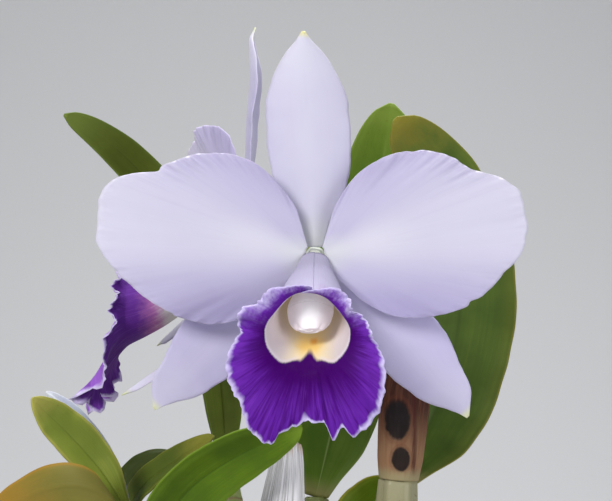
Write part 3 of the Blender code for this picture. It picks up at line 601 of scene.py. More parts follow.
def petal_finish(name, body, deep, glow, foot):
    finish, wire, shader = new_finish(name, **SATIN)
    across, along, side, margin = noted(wire, "across", "along", "side", "margin")
    veins = blade_veins(wire, across, along, 40)
    cloud = grain(wire, 42, 3)
    # A pale band along the midline: painted highlight where the blade bulges forward.
    colour = (across.hill(-0.02, 0.62) * along.rise(0.0, 0.25)).blend(body, glow)
    # Deeper lavender over the lower half: partly the petal's own colour, partly painted shade.
    lower = (across + (cloud - 0.5) * 0.25).rise(-0.1, -0.85) * along.rise(0.1, 0.75)
    colour = (lower * 0.8).blend(colour, deep)
    colour = (across.rise(0.3, 0.85) * along.rise(0.35, 0.95) * 0.4).blend(colour, deep)
    colour = (cloud.rise(0.5, 0.75) * 0.3 * along).blend(colour, body)
    colour = (across.hill(-0.03, 0.02) * along.rise(0.35, 0.7) * 0.3).blend(colour, glow)
    # Darker in the valleys of the crimps near the rim: painted shade in the creases.
    crimps = veins.rise(0.55, 0.3) * along.rise(0.74, 0.97) * across.rise(0.1, 0.4) * 0.3
    colour = (crimps + veins.rise(0.5, 0.3) * 0.07).blend(colour, deep)
    colour = (margin.rise(0.014, 0.0) * 0.3).blend(colour, glow)
    colour = (across.hill(0.05, 0.5) * along.rise(0.55, 0.2) * 0.6).blend(colour, rgb(216, 215, 226))
    colour = (along.rise(0.22, 0.02) * 0.45).blend(colour, foot)
    relief = veins * (crimps * 1.6 + 0.22) + grain(wire, 2600, 1) * 0.06
    paint(wire, shader, colour, side.rise(-1, 1, 0.62, 0.52), relief, 0.45, 0.3)
    return finish


def sepal_finish(name, body, deep, glow, tip, tip_from):
    finish, wire, shader = new_finish(name, **SATIN)
    across, along, side, margin = noted(wire, "across", "along", "side", "margin")
    veins = blade_veins(wire, across, along, 9, 2.0)
    colour = (grain(wire, 55, 3).rise(0.35, 0.75) * 0.35).blend(body, deep)
    colour = (abs(across).rise(0.45, 1.0) * 0.3).blend(colour, deep)
    colour = (across.hill(0, 0.55) * 0.35).blend(colour, glow)
    colour = (veins.rise(0.5, 0.25) * 0.12).blend(colour, deep)
    colour = (margin.rise(0.03, 0.0) * 0.25).blend(colour, glow)
    colour = (along.rise(0.68, 0.9) * 0.6).blend(colour, glow)
    patchy = along + (grain(wire, 160, 2) - 0.5) * 0.03
    colour = patchy.rise(tip_from, 1.0).blend(colour, tip)
    colour = (along.rise(0.22, 0.02) * 0.4).blend(colour, rgb(206, 214, 196))
    relief = veins * 0.25 + grain(wire, 2600, 1) * 0.06
    paint(wire, shader, colour, side.rise(-1, 1, 0.62, 0.52), relief, 0.4, 0.25)
    return finish


LAVENDER = rgb(189, 185, 211)
DEEP_LAVENDER = rgb(158, 150, 191)
PETAL_WHITE = rgb(202, 200, 218)
# The back bloom's petals use a shaded copy of the finish: painted shade.
petal_finishes = {
    "main_bloom": petal_finish("petal", LAVENDER, DEEP_LAVENDER, PETAL_WHITE, rgb(214, 220, 216)),
    "back_bloom": petal_finish(
        "petal_shaded", rgb(184, 178, 208), rgb(150, 142, 184), rgb(202, 198, 218), rgb(180, 184, 180)
    ),
}
# Lower sepals are darker than the upright one: painted shade of the petals. Back bloom's copies: painted
# shade.
sepal_finishes = {
    ("main_bloom", "top"): sepal_finish(
        "sepal_upright", rgb(196, 194, 214), rgb(184, 180, 207), rgb(204, 203, 218), rgb(214, 208, 150), 0.962
    ),
    ("main_bloom", "side"): sepal_finish(
        "sepal", rgb(190, 185, 215), rgb(172, 166, 202), rgb(202, 199, 222), rgb(214, 218, 176), 0.955
    ),
    ("back_bloom", "top"): sepal_finish(
        "sepal_upright_shaded", rgb(196, 192, 218), rgb(168, 162, 200), rgb(216, 215, 232),
        rgb(200, 206, 170), 0.95,
    ),
    ("back_bloom", "side"): sepal_finish(
        "sepal_shaded", rgb(172, 167, 192), rgb(140, 134, 162), rgb(200, 198, 214), rgb(188, 194, 140), 0.93
    ),
}
print("petal and sepal finishes:", sorted(petal_finishes))

# %% [markdown]
# ## Both blooms
# The two flowers follow the same rules. The second is a little larger and faces left, so the camera sees
# its profile: its upright sepal edge on, and its two lower sepals as slim ribbons that curl forward. Each
# bloom's pieces are built about its own middle and then turned and moved to where the flower stem holds
# it.

# %% Build the petals and sepals
# For the left and right petal: how it bends forward, how far it is turned up, its reach and its swing. For
# the left and right lower sepal: the spine that it curls along and the way that its width lies. For the
# lip: how far its midlobe hangs, leans out and ruffles.
BLOOMS = {
    "main_bloom": {
        "middle": (6.3, -40, 243.3), "facing": 0, "size": 1.0,
        "bend": (0.0015, 0.0015), "petal_lift": (0, 0), "petal_grid": (221, 56),
        "petal_reach": (PETAL_REACH_LEFT, PETAL_REACH_RIGHT), "petal_swing": (PETAL_FLAT, PETAL_FLAT),
        "sepal_top": (58.5, DORSAL_STRAIGHT, 0.12), "sepal_curls": None,
        "lip_droop": (0, 0, 0), "lip_grid": (341, 76),
    },
    "back_bloom": {
        "middle": (-16.3, 12, 247.1), "facing": -92, "size": 1.05,
        "bend": (0.0105, 0.016), "petal_lift": (18, -9.5), "petal_grid": (151, 48),
        "petal_reach": (PETAL_REACH_FAR, PETAL_REACH_NEAR), "petal_swing": (PETAL_FAR_SWING, PETAL_FLAT),
        "sepal_top": (59.2, DORSAL_BENT, 0.16),
        "sepal_curls": (
            (((-1.9, -1.7, -1.8), (-15.1, -12.6, 1), (-24.4, -18.4, 12), (-29.6, -29.6, 25)),
             (-0.97, 0.15, 0.13)),
            (((1.9, -1.7, -1.8), (13.4, -19.5, -1), (24.5, -31, 13.5), (25.7, -39.3, 27.4)),
             (-0.97, 0.22, -0.07)),
        ),
        "lip_droop": (3.0, -0.6, 2.6), "lip_grid": (301, 58),
    },
}
FLOWER_FRONT = (0, -1, 0)
SEPAL_GRID = (33, 110)


def bloom_move(bloom):
    """Turns and moves points from the flower's own frame to the plant's."""
    turn = math.radians(BLOOMS[bloom]["facing"])
    spin = np.array(((math.cos(turn), -math.sin(turn), 0), (math.sin(turn), math.cos(turn), 0), (0, 0, 1)))
    middle = np.array(BLOOMS[bloom]["middle"], float)
    return lambda places: places @ spin.T + middle


def place_tepal(bloom, part, grid, place, finish):
    """A petal or sepal of a bloom, turned and moved to its place."""
    solid = f"{bloom}_{part}"
    mesh = blade_mesh(solid, *grid, place, tepal_thickness, FLOWER_FRONT, move=bloom_move(bloom))
    place_piece(solid, mesh, finish)


for bloom, facts in BLOOMS.items():
    size, curls = facts["size"], facts["sepal_curls"]
    upright = dorsal_place(*facts["sepal_top"], size)
    place_tepal(bloom, "sepal_top", SEPAL_GRID, upright, sepal_finishes[bloom, "top"])
    for number, (side, hand) in enumerate((("left", -1), ("right", 1))):
        shape = (facts[kind][number] for kind in ("petal_reach", "petal_swing", "petal_lift", "bend"))
        petal = petal_place(hand, *shape, size)
        place_tepal(bloom, f"petal_{side}", facts["petal_grid"], petal, petal_finishes[bloom])
        sepal = ribbon_place(*curls[number], size) if curls else lateral_place(hand, size)
        place_tepal(bloom, f"sepal_{side}", SEPAL_GRID, sepal, sepal_finishes[bloom, "side"])
    print(bloom, "petals and sepals built")

# %% [markdown]
# ## The lip
# The lip is the third petal. Its lower half is rolled into a tube round the column, and its upper half
# flares into two side lobes and a round, split midlobe with a frilled margin. One grid makes it: across
# runs round the roll, from the seam on top through the floor and back, and along runs from the flower's
# middle to the margin. The frills are waves round the margin that grow towards it, in two sizes, as cloth
# ruffles when its edge is longer than its seam. The second bloom's midlobe hangs lower and is ruffled
# more.

# %% Lip shape
# The tube's forward place, its crown, its floor and its half width
LIP_TUBE = (
    (2.2, 1.2, -4.4, 3.6), (6, -0.9, -9.6, 5.0), (12, -3.0, -16.6, 7.2),
    (18, -5.6, -21.5, 8.3), (24, -7.8, -25, 9.4), (29, -8.3, -27.5, 10.3),
)
LIP_MIDDLE = -17.05
# The margin's reach and forward place, at degrees round from the floor's midline
LIP_REACH = (
    (-188, 9.3), (-171, 9.8), (-152, 11.0), (-137, 12.9), (-118, 13.4), (-107, 16.4), (-97, 16.7),
    (-88, 16.0), (-78, 18.2), (-61, 21.8), (-44, 22.8), (-27, 26.9), (-16, 27.5), (-14, 24.6),
    (-5, 22.4), (0, 21), (8, 21.5), (12.5, 22), (14.5, 26.2), (18, 25.2), (21.6, 24.1), (24, 27.2),
    (40, 26), (53, 23.2), (68, 19.8), (83, 15.9), (99, 14.2), (107, 12.9), (113, 11.6), (124, 12.5),
    (139, 12.5), (164, 10.3), (188, 9.3),
)
LIP_FORWARD = ((0, 39), (20, 39.5), (45, 35.5), (65, 32.4), (100, 31.4), (150, 31.6), (188, 32))
LIP_OVERLAP = 7.0
LIP_DRIFT = -0.066
LIP_MOUTH = 0.5
LIP_MIDLOBE = (30, 62)
LIP_LAP_OVER = 0.6
LIP_LAP_UNDER = 0.3
LIP_KNEE = 0.35
LIP_FRILLS = 13
LIP_FRILL = 1.1
LIP_RUFFLE = 0.6
LIP_FINE_RUFFLE = 0.28


def lip_degrees(across, along):
    return across * (180 + LIP_OVERLAP * eased(-0.1, 0.5, along))


def lip_place(droop, size):
    crown, floor, half = (column_of(LIP_TUBE, number) for number in (1, 2, 3))
    hang, lean_out, ruffle = droop

    def tube_ring(forward, way, step_out):
        top, low = value_on(crown, forward), value_on(floor, forward)
        peak = 0.14 * eased(14, 29, forward) * np.sin(2 * way) ** 2 * (np.cos(way) < 0)
        wide = (value_on(half, forward) + step_out) * (1 - peak)
        tall = (top - low) / 2 + step_out
        return points(np.sin(way) * wide, (top + low) / 2 - np.cos(way) * tall, forward)

    def place(across, along):
        degrees = lip_degrees(across, along)
        way = np.radians(degrees)
        top_lobe = eased(120, 178, np.abs(degrees))
        midlobe = 1 - eased(*LIP_MIDLOBE, np.abs(degrees))
        lap = np.where(across < 0, LIP_LAP_OVER, -LIP_LAP_UNDER) * top_lobe
        lap = lap * between(0.16, 1.5, eased(0.42, 0.9, along))
        mouth = LIP_TUBE[-1][0]
        part = np.maximum(0, (along - LIP_MOUTH) / (1 - LIP_MOUTH))
        inner = tube_ring(between(LIP_TUBE[0][0], mouth, np.minimum(1, along / LIP_MOUTH)), way, lap)
        quiet = 1 - 0.75 * eased(110, 150, np.abs(degrees))
        reach = value_on(LIP_REACH, degrees) + lap + hang * midlobe
        reach = reach + (0.3 + 0.35 * ruffle * midlobe) * ripple(degrees, 9, 2) * quiet
        edge_forward = value_on(LIP_FORWARD, np.abs(degrees)) + lean_out * midlobe
        edge = points(np.sin(way) * reach, LIP_MIDDLE - np.cos(way) * reach, edge_forward)
        knee = inner + (edge - inner) * LIP_KNEE
        knee[..., 2] = between(mouth, edge_forward, 0.85)
        part3 = part[..., None]
        spot = inner * (1 - part3) ** 2 + knee * 2 * part3 * (1 - part3) + edge * part3**2
        frill = LIP_FRILL * part**2 + ruffle * midlobe * part**9
        frill = frill * (1 - 0.75 * eased(120, 165, np.abs(degrees)))
        spot[..., 2] += frill * np.sin(way * LIP_FRILLS)
        fine = eased(0.6, 1, part) * quiet * (1 + 0.8 * ruffle * midlobe)
        spot[..., 2] += fine * LIP_RUFFLE * ripple(degrees, 17, 1)
        spot[..., 2] += fine * LIP_FINE_RUFFLE * ripple(degrees + 20 * part, 7.5, 4)
        spot[..., 2] += 0.25 * part * (1 - part) * ripple(degrees, 24, 6)
        return flower_points(spot[..., 0] + LIP_DRIFT * spot[..., 2], spot[..., 1], spot[..., 2], size)

    return place


def lip_thickness(across, along):
    rim = np.minimum(eased(0, 0.25, 1 - np.abs(across)), eased(0, 0.06, 1 - along))
    return between(0.13, 0.5, rim)


def lip_notes(across, along):
    """How far round from the floor's midline, in half turns, and how far out beyond the mouth."""
    flare = np.maximum(0, (along - LIP_MOUTH) / (1 - LIP_MOUTH))
    return {"round": lip_degrees(across, along) / 180, "flare": flare}


print("lip", round(LIP_TUBE[-1][0], 1), "mm deep to its mouth, frilled", LIP_FRILLS, "times round")

# %% [markdown]
# ## The colours of the lip
# Inside, the tube is cream with a yellow patch on its floor, and paler at its sides. Deep in the tube it is
# darker and yellower, partly its own colour and partly painted shade. Past the mouth it turns deep violet,
# darkest near the throat and down the midline, with fine veins that branch outward and a pale margin. The
# side lobes are softly mottled. Outside, the tube is nearly white at its foot and flushed with purple
# towards the mouth. A picture could be laid over it, but all of it can be told by how far a point is round
# the roll and along it, and then it fits any shape of the lip. A faint glow in the throat is painted light:
# it stands for daylight that soaks through the thin tube, and it lifts the shade there.


# %% Lip finish
def lip_finish(name, night, violet, pale, outside_top, outside_low, flush_from):
    finish, wire, shader = new_finish(
        name, Roughness=0.6, Subsurface_Weight=0.05, Subsurface_Scale=0.0008, Subsurface_Radius=(1, 0.6, 1),
        Specular_IOR_Level=0.06, Emission_Strength=0.05,
    )
    round_it, along, flare, side, margin = noted(wire, "round", "along", "flare", "side", "margin")
    turn = abs(round_it)
    speckle = grain(wire, 340, 3, rough=0.6)
    streak = grain(wire, 1.0, 4, place=triple(wire, round_it * 34, along * 3, 1.3), rough=0.6)
    lines = grain(wire, 1.0, 3, place=triple(wire, round_it * 95, along * 2.5, 4.1), rough=0.6)
    out = flare + (speckle - 0.5) * 0.2 + (streak - 0.5) * 0.35
    lobe = turn.rise(0.5, 0.68)
    face = out.rise(0.1, 0.8).blend(night, violet)
    face = (turn.hill(0, 0.06) * flare.rise(1.0, 0.6) * 0.8).blend(face, night)
    face = (lines.rise(0.52, 0.38) * flare.rise(0.0, 0.3) * 0.6).blend(face, night)
    light = (violet[0] * 1.5, violet[1] * 2.2, violet[2] * 1.35)
    face = (lines.rise(0.55, 0.68) * flare.rise(0.15, 0.6) * 0.5).blend(face, light)
    flank = turn.hill(0.42, 0.24) * (flare + (streak - 0.5) * 0.4).rise(0.45, 0.95)
    face = (flank * 0.8).blend(face, light)
    mottled = ((speckle - 0.5) * 1.3 + flare * 0.8 + (streak - 0.5) * 0.7).rise(0.12, 1.0).blend(light, pale)
    mottled = (flare + (speckle - 0.5) * 0.8).rise(0.55, 0.1).blend(mottled, violet)
    face = (lobe * 0.9).blend(face, mottled)
    rim_wide = turn.rise(0.1, 0.32, 0.016, 0.042) + turn.rise(0.022, 0.0, 0.0, 0.045)
    ragged = margin + (streak - 0.5) * 0.05 + (speckle - 0.5) * 0.04
    edge_line = ragged.rise(rim_wide * 1.5, rim_wide * 0.1)
    face = edge_line.blend(face, pale)
    throat_edge = turn.rise(0, 0.08, 0.341, 0.416) + turn.rise(0.08, 0.24, 0, 0.084)
    throat_edge = throat_edge + turn.rise(0.24, 0.45, 0, 0.015) + (lines - 0.5) * 0.02
    soft = turn.rise(0.12, 0.02, 0.012, 0.03)
    throat = (along - throat_edge).rise(soft, soft * -1)
    cream = turn.rise(0.06, 0.3).blend(rgb(234, 218, 178), rgb(210, 200, 204))
    # Darker and yellower deep in the tube: partly its own colour, partly painted shade in the recess.
    cream = (along.rise(0.4, 0.15) * 0.6).blend(cream, rgb(212, 192, 136))
    patch = (turn + (speckle - 0.5) * 0.1).rise(0.17, 0.05) * along.hill(0.31, 0.1)
    cream = (patch * 0.8).blend(cream, rgb(240, 200, 104))
    spot = abs(round_it - 0.03).rise(0.05, 0.01) * along.hill(0.28, 0.03)
    cream = (spot * 0.8).blend(cream, rgb(228, 158, 60))
    halo = (along - throat_edge).hill(-0.012, 0.03) * turn.rise(0.06, 0.14)
    cream = (halo * 0.6).blend(cream, rgb(226, 218, 228))
    face = throat.blend(face, cream)
    reached = along + (speckle - 0.5) * 0.08 + (streak - 0.5) * 0.06
    back = (grain(wire, 90, 3).rise(0.3, 0.7) * 0.3).blend(outside_top, rgb(198, 192, 222))
    flush = reached.rise(flush_from, flush_from + 0.1) * turn.rise(0.97, 0.75)
    back = flush.blend(back, reached.rise(flush_from + 0.06, flush_from + 0.19).blend(outside_low, night))
    back = (flush * lines.rise(0.5, 0.7) * 0.35).blend(back, violet)
    back = (edge_line * along.rise(0.5, 0.6)).blend(back, pale)
    seam = turn.rise(0.93, 0.97) * along.rise(0.5, 0.45)
    colour = (side.rise(-0.2, 0.2) * (1 - seam)).blend(back, face)
    velvet = speckle.rise(0.2, 0.8, 0.52, 0.7)
    # The glow is painted light: daylight through the thin tube, which also lifts the throat's shade.
    glow = (throat * side.rise(-0.2, 0.2)).blend(rgb(0, 0, 0), cream)
    wire.plug(shader.inputs["Emission Color"], glow)
    paint(wire, shader, colour, velvet, lines * 0.6 + streak * 0.5 + grain(wire, 2200, 1) * 0.15, 0.5, 0.25)
    return finish


lip_finishes = {
    "main_bloom": lip_finish(
        "purple_lip", rgb(62, 0, 98), rgb(92, 30, 150), rgb(198, 188, 230), rgb(172, 167, 192),
        rgb(150, 84, 168), 0.3,
    ),
    # The back bloom's lip is painted lighter than the main one: painted light against the shade it stands in.
    "back_bloom": lip_finish(
        "purple_lip_shaded", rgb(92, 44, 134), rgb(140, 88, 186), rgb(200, 190, 226), rgb(222, 218, 212),
        rgb(176, 112, 166), 0.27,
    ),
}
for bloom, facts in BLOOMS.items():
    lip = lip_place(facts["lip_droop"], facts["size"])
    mesh = blade_mesh(
        f"{bloom}_lip", *facts["lip_grid"], lip, lip_thickness, FLOWER_FRONT,
        notes=lip_notes, move=bloom_move(bloom),
    )
    place_piece(f"{bloom}_lip", mesh, lip_finishes[bloom])
    print(bloom, "lip:", len(mesh.polygons), "faces")

# %% [markdown]
# ## Column and anther cap
# The column is the flower's waxy white middle: a club that bends down and widens to a hood. The anther
# cap is the hood's end, over the pollen, with small teeth at its lower edge. Both follow one table of
# rings, each square to the bent axis, and the cap takes the last part of it, so the two make one smooth
# curve. They are white down the middle and mauve at the sides: partly their own tint, partly painted
# shade where they round away and a painted highlight down the middle. Light passes through their waxy
# flesh, so they get a thin coat, some subsurface light and a faint glow, which is painted light that also
# lifts the lip's shade off them.

# %% Build the columns and caps
# Forward place, height, half width and half thickness
COLUMN = (
    (1.8, -1.2, 1.8, 1.7), (6, -3.6, 2.2, 2.1), (11, -7.2, 3.2, 2.9), (15, -10.3, 4.8, 3.7),
    (18, -12.9, 5.7, 4.1), (20.3, -15.3, 5.2, 3.4), (22, -16.8, 4.2, 1.9), (22.9, -17.6, 3.3, 0.9),
)
CAP_FROM = 0.79
CAP_SEAM = 0.002
CAP_TEETH = 0.55
COLUMN_RIDGE = 0.22
COLUMN_GRID = (72, 48)


def column_place(start, end, size):
    """The stretch of the column between two parts of its length."""
    height, wide, thick = (column_of(COLUMN, number) for number in (1, 2, 3))
    first, last = COLUMN[0][0], COLUMN[-1][0]

    def place(turn, along):
        part = between(start, end, along)
        forward = between(first, last, part)
        before, after = np.maximum(forward - 0.1, first), np.minimum(forward + 0.1, last)
        lean = np.arctan((value_on(height, after) - value_on(height, before)) / (after - before))
        lean = lean * eased(0, 0.3, part)
        side = np.cos(turn)
        ridge = COLUMN_RIDGE * swell_at(side, 0, 0.28) * (np.sin(turn) > 0) * eased(0.4, 0.8, part)
        rise = np.sin(turn) * value_on(thick, forward) + ridge
        teeth = CAP_TEETH * swell_at(np.abs(side), 0.78, 0.1) - 0.25 * (1 - side**2)
        pull = teeth * eased(0.93, 1, part)
        right = side * value_on(wide, forward) + LIP_DRIFT * forward
        up = value_on(height, forward) + rise * np.cos(lean) - pull * np.sin(lean)
        return flower_points(right, up, forward - rise * np.sin(lean) - pull * np.cos(lean), size)

    return place


def column_finish(name, white, flush):
    # The emission is painted light: a faint glow for light through the wax, which also lifts the lip's shade.
    finish, wire, shader = new_finish(
        name, Subsurface_Weight=0.15, Subsurface_Scale=0.001, Subsurface_Radius=(1, 0.8, 0.8),
        Coat_Roughness=0.35, Coat_Weight=0.12, Emission_Color=(0.9, 0.87, 0.92, 1), Emission_Strength=0.2,
    )
    mist = grain(wire, 500, 3)
    # Mauve towards the sides: partly the column's own tint, partly painted shade, leaving a painted highlight
    # down the middle.
    sides = abs(noted(wire, "turn").apply("COSINE")) + (mist - 0.5) * 0.15
    colour = sides.rise(0.15, 0.85).blend(white, flush)
    paint(wire, shader, colour, mist.rise(0.3, 0.7, 0.42, 0.52), grain(wire, 1400, 2), 0.15, 0.08)
    return finish


column_look = column_finish("column", rgb(232, 229, 232), rgb(190, 174, 182))
cap_look = column_finish("anther_cap", rgb(244, 243, 245), rgb(204, 190, 196))
COLUMN_PARTS = (("column", column_look, 0, CAP_FROM), ("anther_cap", cap_look, CAP_FROM + CAP_SEAM, 1))
for bloom, facts in BLOOMS.items():
    for part, look, start, end in COLUMN_PARTS:
        solid = f"{bloom}_{part}"
        place = column_place(start, end, facts["size"])
        place_piece(solid, round_mesh(solid, *COLUMN_GRID, place, bloom_move(bloom)), look)
    print(bloom, "column and anther cap built")

# %% [markdown]
# ## Where the pseudobulbs stand
# A cattleya creeps. A thick stem, the rhizome, runs over the bark, and from it rise the pseudobulbs, each
# a swollen stem that ends in a leaf, in the flower's stalk or in a dry brown sheath. Their feet and tops
# are written down once, and everything that stands on them or runs between them takes its place from this
# table.

# %% Pseudobulb table
GAP = 0.3
BARK_TOP = 97.0
RHIZOME_RADIUS = 3.0
ROOT_RADIUS = 1.5
BULB_FOOT = BARK_TOP + 2 * RHIZOME_RADIUS + 2 * GAP
BULB_SWELL = ((0, 3.6), (0.12, 4.2), (0.35, 5.8), (0.62, 6.2), (0.85, 4.8), (1, 3.6))
FLOWERING_SWELL = ((0, 3.2), (0.15, 4), (0.45, 5.2), (0.75, 4.7), (0.9, 3.2), (1, 1.8))
SPATHE_BULB_SWELL = ((0, 3.6), (0.12, 4.2), (0.35, 5.8), (0.62, 6.3), (0.85, 5.8), (1, 5.2))
FLUTES = 6
FLUTE_DEPTH = 0.055
BULB_JOINTS = (0.16, 0.4, 0.66, 0.88)
BULB_GRID = (48, 78)
# Each pseudobulb's foot on the rhizome and its top
BULBS = {
    "pseudobulb_front_left": ((-28, -22), (-38, -27, 160)),
    "pseudobulb_left": ((-34, -7), (-44, -12, 172)),
    "pseudobulb_back_left": ((-31, 10), (-47, 5, 166)),
    "pseudobulb_back": ((-16, 32), (-21, 50, 176)),
    "pseudobulb_middle_back": ((5, 27), (7, 36, 171)),
    "pseudobulb_back_right": ((28, 22), (32, 24, 177)),
    "pseudobulb_right": ((26, 3), (30, 5, 181)),
    "pseudobulb_inner": ((11, 10), (11, 12, 156)),
    "pseudobulb_flowering": ((-8, -12), (-0.5, -5, 194)),
}


def bulb_axis(name):
    """Four points of a pseudobulb's bent axis, from its foot on the rhizome to its top."""
    (x, y), top = BULBS[name]
    foot = np.array((x, y, BULB_FOOT), float)
    top = np.array(top, float)
    rise = top[2] - foot[2]
    return foot, foot + (0, 0, rise * 0.35), top - (top - foot) * 0.3, top


def bulb_swell(name):
    special = {"pseudobulb_flowering": FLOWERING_SWELL, "pseudobulb_right": SPATHE_BULB_SWELL}
    return special.get(name, BULB_SWELL)


def round_place(axis, along, turn, radius):
    """Points round a bent axis, in planes square to it. A quarter turn before a whole one is the front."""
    way = bezier_way(axis, along)
    right = unit(-np.cross(way, (0, 1, 0)))
    back = np.cross(way, right)
    turn, radius = (np.asarray(value, float)[..., None] for value in (turn, radius))
    return bezier(axis, along) + right * np.cos(turn) * radius + back * np.sin(turn) * radius


print(len(BULBS), "pseudobulbs, the tallest", max(top[2] for foot, top in BULBS.values()) - BULB_FOOT, "mm")

# %% [markdown]
# ## Pseudobulbs
# Each is green and firm, with shallow flutes that deepen as it ages, rings where old sheaths were joined,
# and a dry grey-brown net of fibres near its foot. A grid rolled round the bent axis gives the body. The
# flutes are a wave in its radius, and the fine furrows are left to the relief of the finish.


# %% Build the pseudobulbs
def bulb_place(name):
    axis, swell = bulb_axis(name), bulb_swell(name)

    def place(turn, along):
        radius = value_on(swell, along) * (1 + FLUTE_DEPTH * np.cos(turn * FLUTES))
        radius = radius * (1 + 0.018 * ripple(turn, 1.7, len(name)) * np.sin(math.pi * along))
        for joint in BULB_JOINTS:
            radius = radius + 0.16 * swell_at(along, joint, 0.008)
        return round_place(axis, along, turn, radius * np.sqrt(np.clip((1.006 - along) / 0.012, 0, 1)))

    return place


def bulb_finish(name, top, low, tip):
    finish, wire, shader = new_finish(name, Specular_IOR_Level=0.45, Coat_Weight=0.12, Coat_Roughness=0.3)
    turn, along = noted(wire, "turn", "along")
    around = triple(wire, turn.apply("COSINE") * 6, turn.apply("SINE") * 6, along * 2.5)
    furrows = grain(wire, 1.0, 4, place=around)
    colour = (furrows.rise(0.35, 0.7) * 0.6).blend(top, low)
    colour = (grain(wire, 180, 4).rise(0.55, 0.72) * 0.5).blend(colour, rgb(122, 110, 60))
    colour = along.rise(0.72, 1.0).blend(colour, tip)
    rings = along.hill(BULB_JOINTS[0], 0.012)
    for joint in BULB_JOINTS[1:]:
        rings = rings.higher(along.hill(joint, 0.01))
    colour = (rings * 0.7).blend(colour, rgb(120, 92, 62))
    net = (along + (furrows - 0.5) * 0.35).rise(0.3, 0.12)
    colour = net.blend(colour, (furrows.rise(0.3, 0.7)).blend(rgb(92, 78, 58), rgb(160, 150, 128)))
    specks = grain(wire, 900, 2).rise(0.68, 0.74)
    colour = (specks * 0.5).blend(colour, rgb(84, 62, 34))
    rough = net.rise(0, 1, 0.42, 0.85)
    paint(wire, shader, colour, rough, furrows * 1.2 + grain(wire, 1200, 2) * 0.15 - rings * 0.3, 0.7, 0.45)
    return finish


green_bulb = bulb_finish("pseudobulb_skin", rgb(104, 124, 58), rgb(72, 94, 38), rgb(128, 140, 78))
pale_bulb = bulb_finish("pseudobulb_skin_pale", rgb(138, 142, 98), rgb(106, 116, 70), rgb(156, 152, 118))
for name in BULBS:
    look = pale_bulb if name in ("pseudobulb_right", "pseudobulb_flowering") else green_bulb
    place_piece(name, round_mesh(name, *BULB_GRID, bulb_place(name)), look)
print(len(BULBS), "pseudobulbs built")

# %% [markdown]
# ## Dry sheaths
# Young pseudobulbs grow inside papery sheaths, which dry to a silvery or reddish skin, split down one
# side and tear along the top. A sheath could be a thin tube that is cut open, but a blade that is rolled
# most of the way round its pseudobulb is open from the start, and the same grid ends in uneven teeth. Its
# fibres are noise that is stretched along the blade.

# %% Build the sheaths
SHEATH_WALL = 0.6
SHEATH_GAP = 0.7
SHEATH_ROLL = 0.93
SHEATH_PLEAT = 0.14
SHEATH_GRID = (141, 50)
# Each sheath's pseudobulb, where it starts and ends along it, and how deep it is torn
SHEATHS = {
    "sheath_white": ("pseudobulb_flowering", 0.06, 0.985, 1.8),
    "sheath_middle": ("pseudobulb_middle_back", 0.1, 0.8, 5.0),
    "sheath_front_left": ("pseudobulb_front_left", 0.08, 0.62, 6.0),
    "sheath_back_right": ("pseudobulb_back_right", 0.08, 0.55, 5.0),
}


def sheath_place(name):
    bulb, low, high, torn = SHEATHS[name]
    axis, swell = bulb_axis(bulb), bulb_swell(bulb)
    rise = BULBS[bulb][1][2] - BULB_FOOT

    def place(across, part):
        turn = math.pi * (1.5 + SHEATH_ROLL * across)
        teeth = torn * np.sin(5 * across + 2 * np.abs(across)) + 0.8 * ripple(across, 0.33, 2)
        teeth = teeth + 0.5 * ripple(across, 0.07, 5)
        along = between(low, high - torn / rise, part) + teeth / rise * part
        skin = value_on(swell, along) * (1 + FLUTE_DEPTH) + SHEATH_GAP + SHEATH_WALL / 2
        skin = skin + SHEATH_PLEAT * ripple(across + 0.02 * part, 0.19, 3)
        skin = skin + 0.25 * eased(0.85, 1, part) * ripple(across, 0.5, 1)
        return round_place(axis, along, turn, skin)

    return place


def paper_wall(across, part):
    return between(0.12, 0.4, np.minimum(eased(0, 0.06, 1 - np.abs(across)), eased(0, 0.05, 1 - part)))


def sheath_finish(name, pale, line, edge):
    finish, wire, shader = new_finish(name, Sheen_Weight=0.2, Sheen_Roughness=0.4, Specular_IOR_Level=0.35)
    across, along, margin = noted(wire, "across", "along", "margin")
    fibres = grain(wire, 1.0, 4, place=triple(wire, across * 46, along * 2.2), rough=0.65)
    broad = grain(wire, 1.0, 2, place=triple(wire, across * 9, along * 1.2, 5.0))
    colour = fibres.rise(0.36, 0.56).blend(line, pale)
    colour = (broad.rise(0.58, 0.74) * 0.4).blend(colour, line)
    tear = (1 - along + (fibres - 0.5) * 0.1).rise(0.05, 0.0)
    colour = (tear * 0.85).blend(colour, edge)
    colour = (margin.rise(0.02, 0.0) * 0.6).blend(colour, edge)
    colour = ((along + (broad - 0.5) * 0.3).rise(0.22, 0.0) * 0.7).blend(colour, edge)
    paint(wire, shader, colour, fibres.rise(0.3, 0.7, 0.5, 0.8), fibres + broad * 0.6, 0.8, 0.4)
    return finish


white_sheath = sheath_finish("dry_white_sheath", rgb(232, 232, 235), rgb(166, 164, 166), rgb(182, 158, 143))
red_sheath = sheath_finish("reddish_sheath", rgb(136, 92, 62), rgb(84, 44, 30), rgb(60, 34, 24))
for name in SHEATHS:
    white = name in ("sheath_white", "sheath_front_left")
    look, slot = (white_sheath, "dry white sheath") if white else (red_sheath, "reddish sheath")
    place_piece(name, blade_mesh(name, *SHEATH_GRID, sheath_place(name), paper_wall), look)
print(len(SHEATHS), "sheaths built")

# %% [markdown]
# ## The brown spathe
# A spathe is the sheath that flower buds grow in. This one is closed and has dried brown on top of its
# pseudobulb, with two dark, sunken patches on its front. Nothing of its inside shows, so it needs no wall
# and is a closed body round an axis, with a low keel down one side. The patches are two ovals measured on
# it, and noise in the finish makes their rims uneven.

# %% Build the spathe
SPATHE_TOP = (33, 6, 218)
SPATHE_SWELL = ((0, 5.4), (0.18, 6.3), (0.6, 6.9), (0.88, 5.4), (1, 1.8))
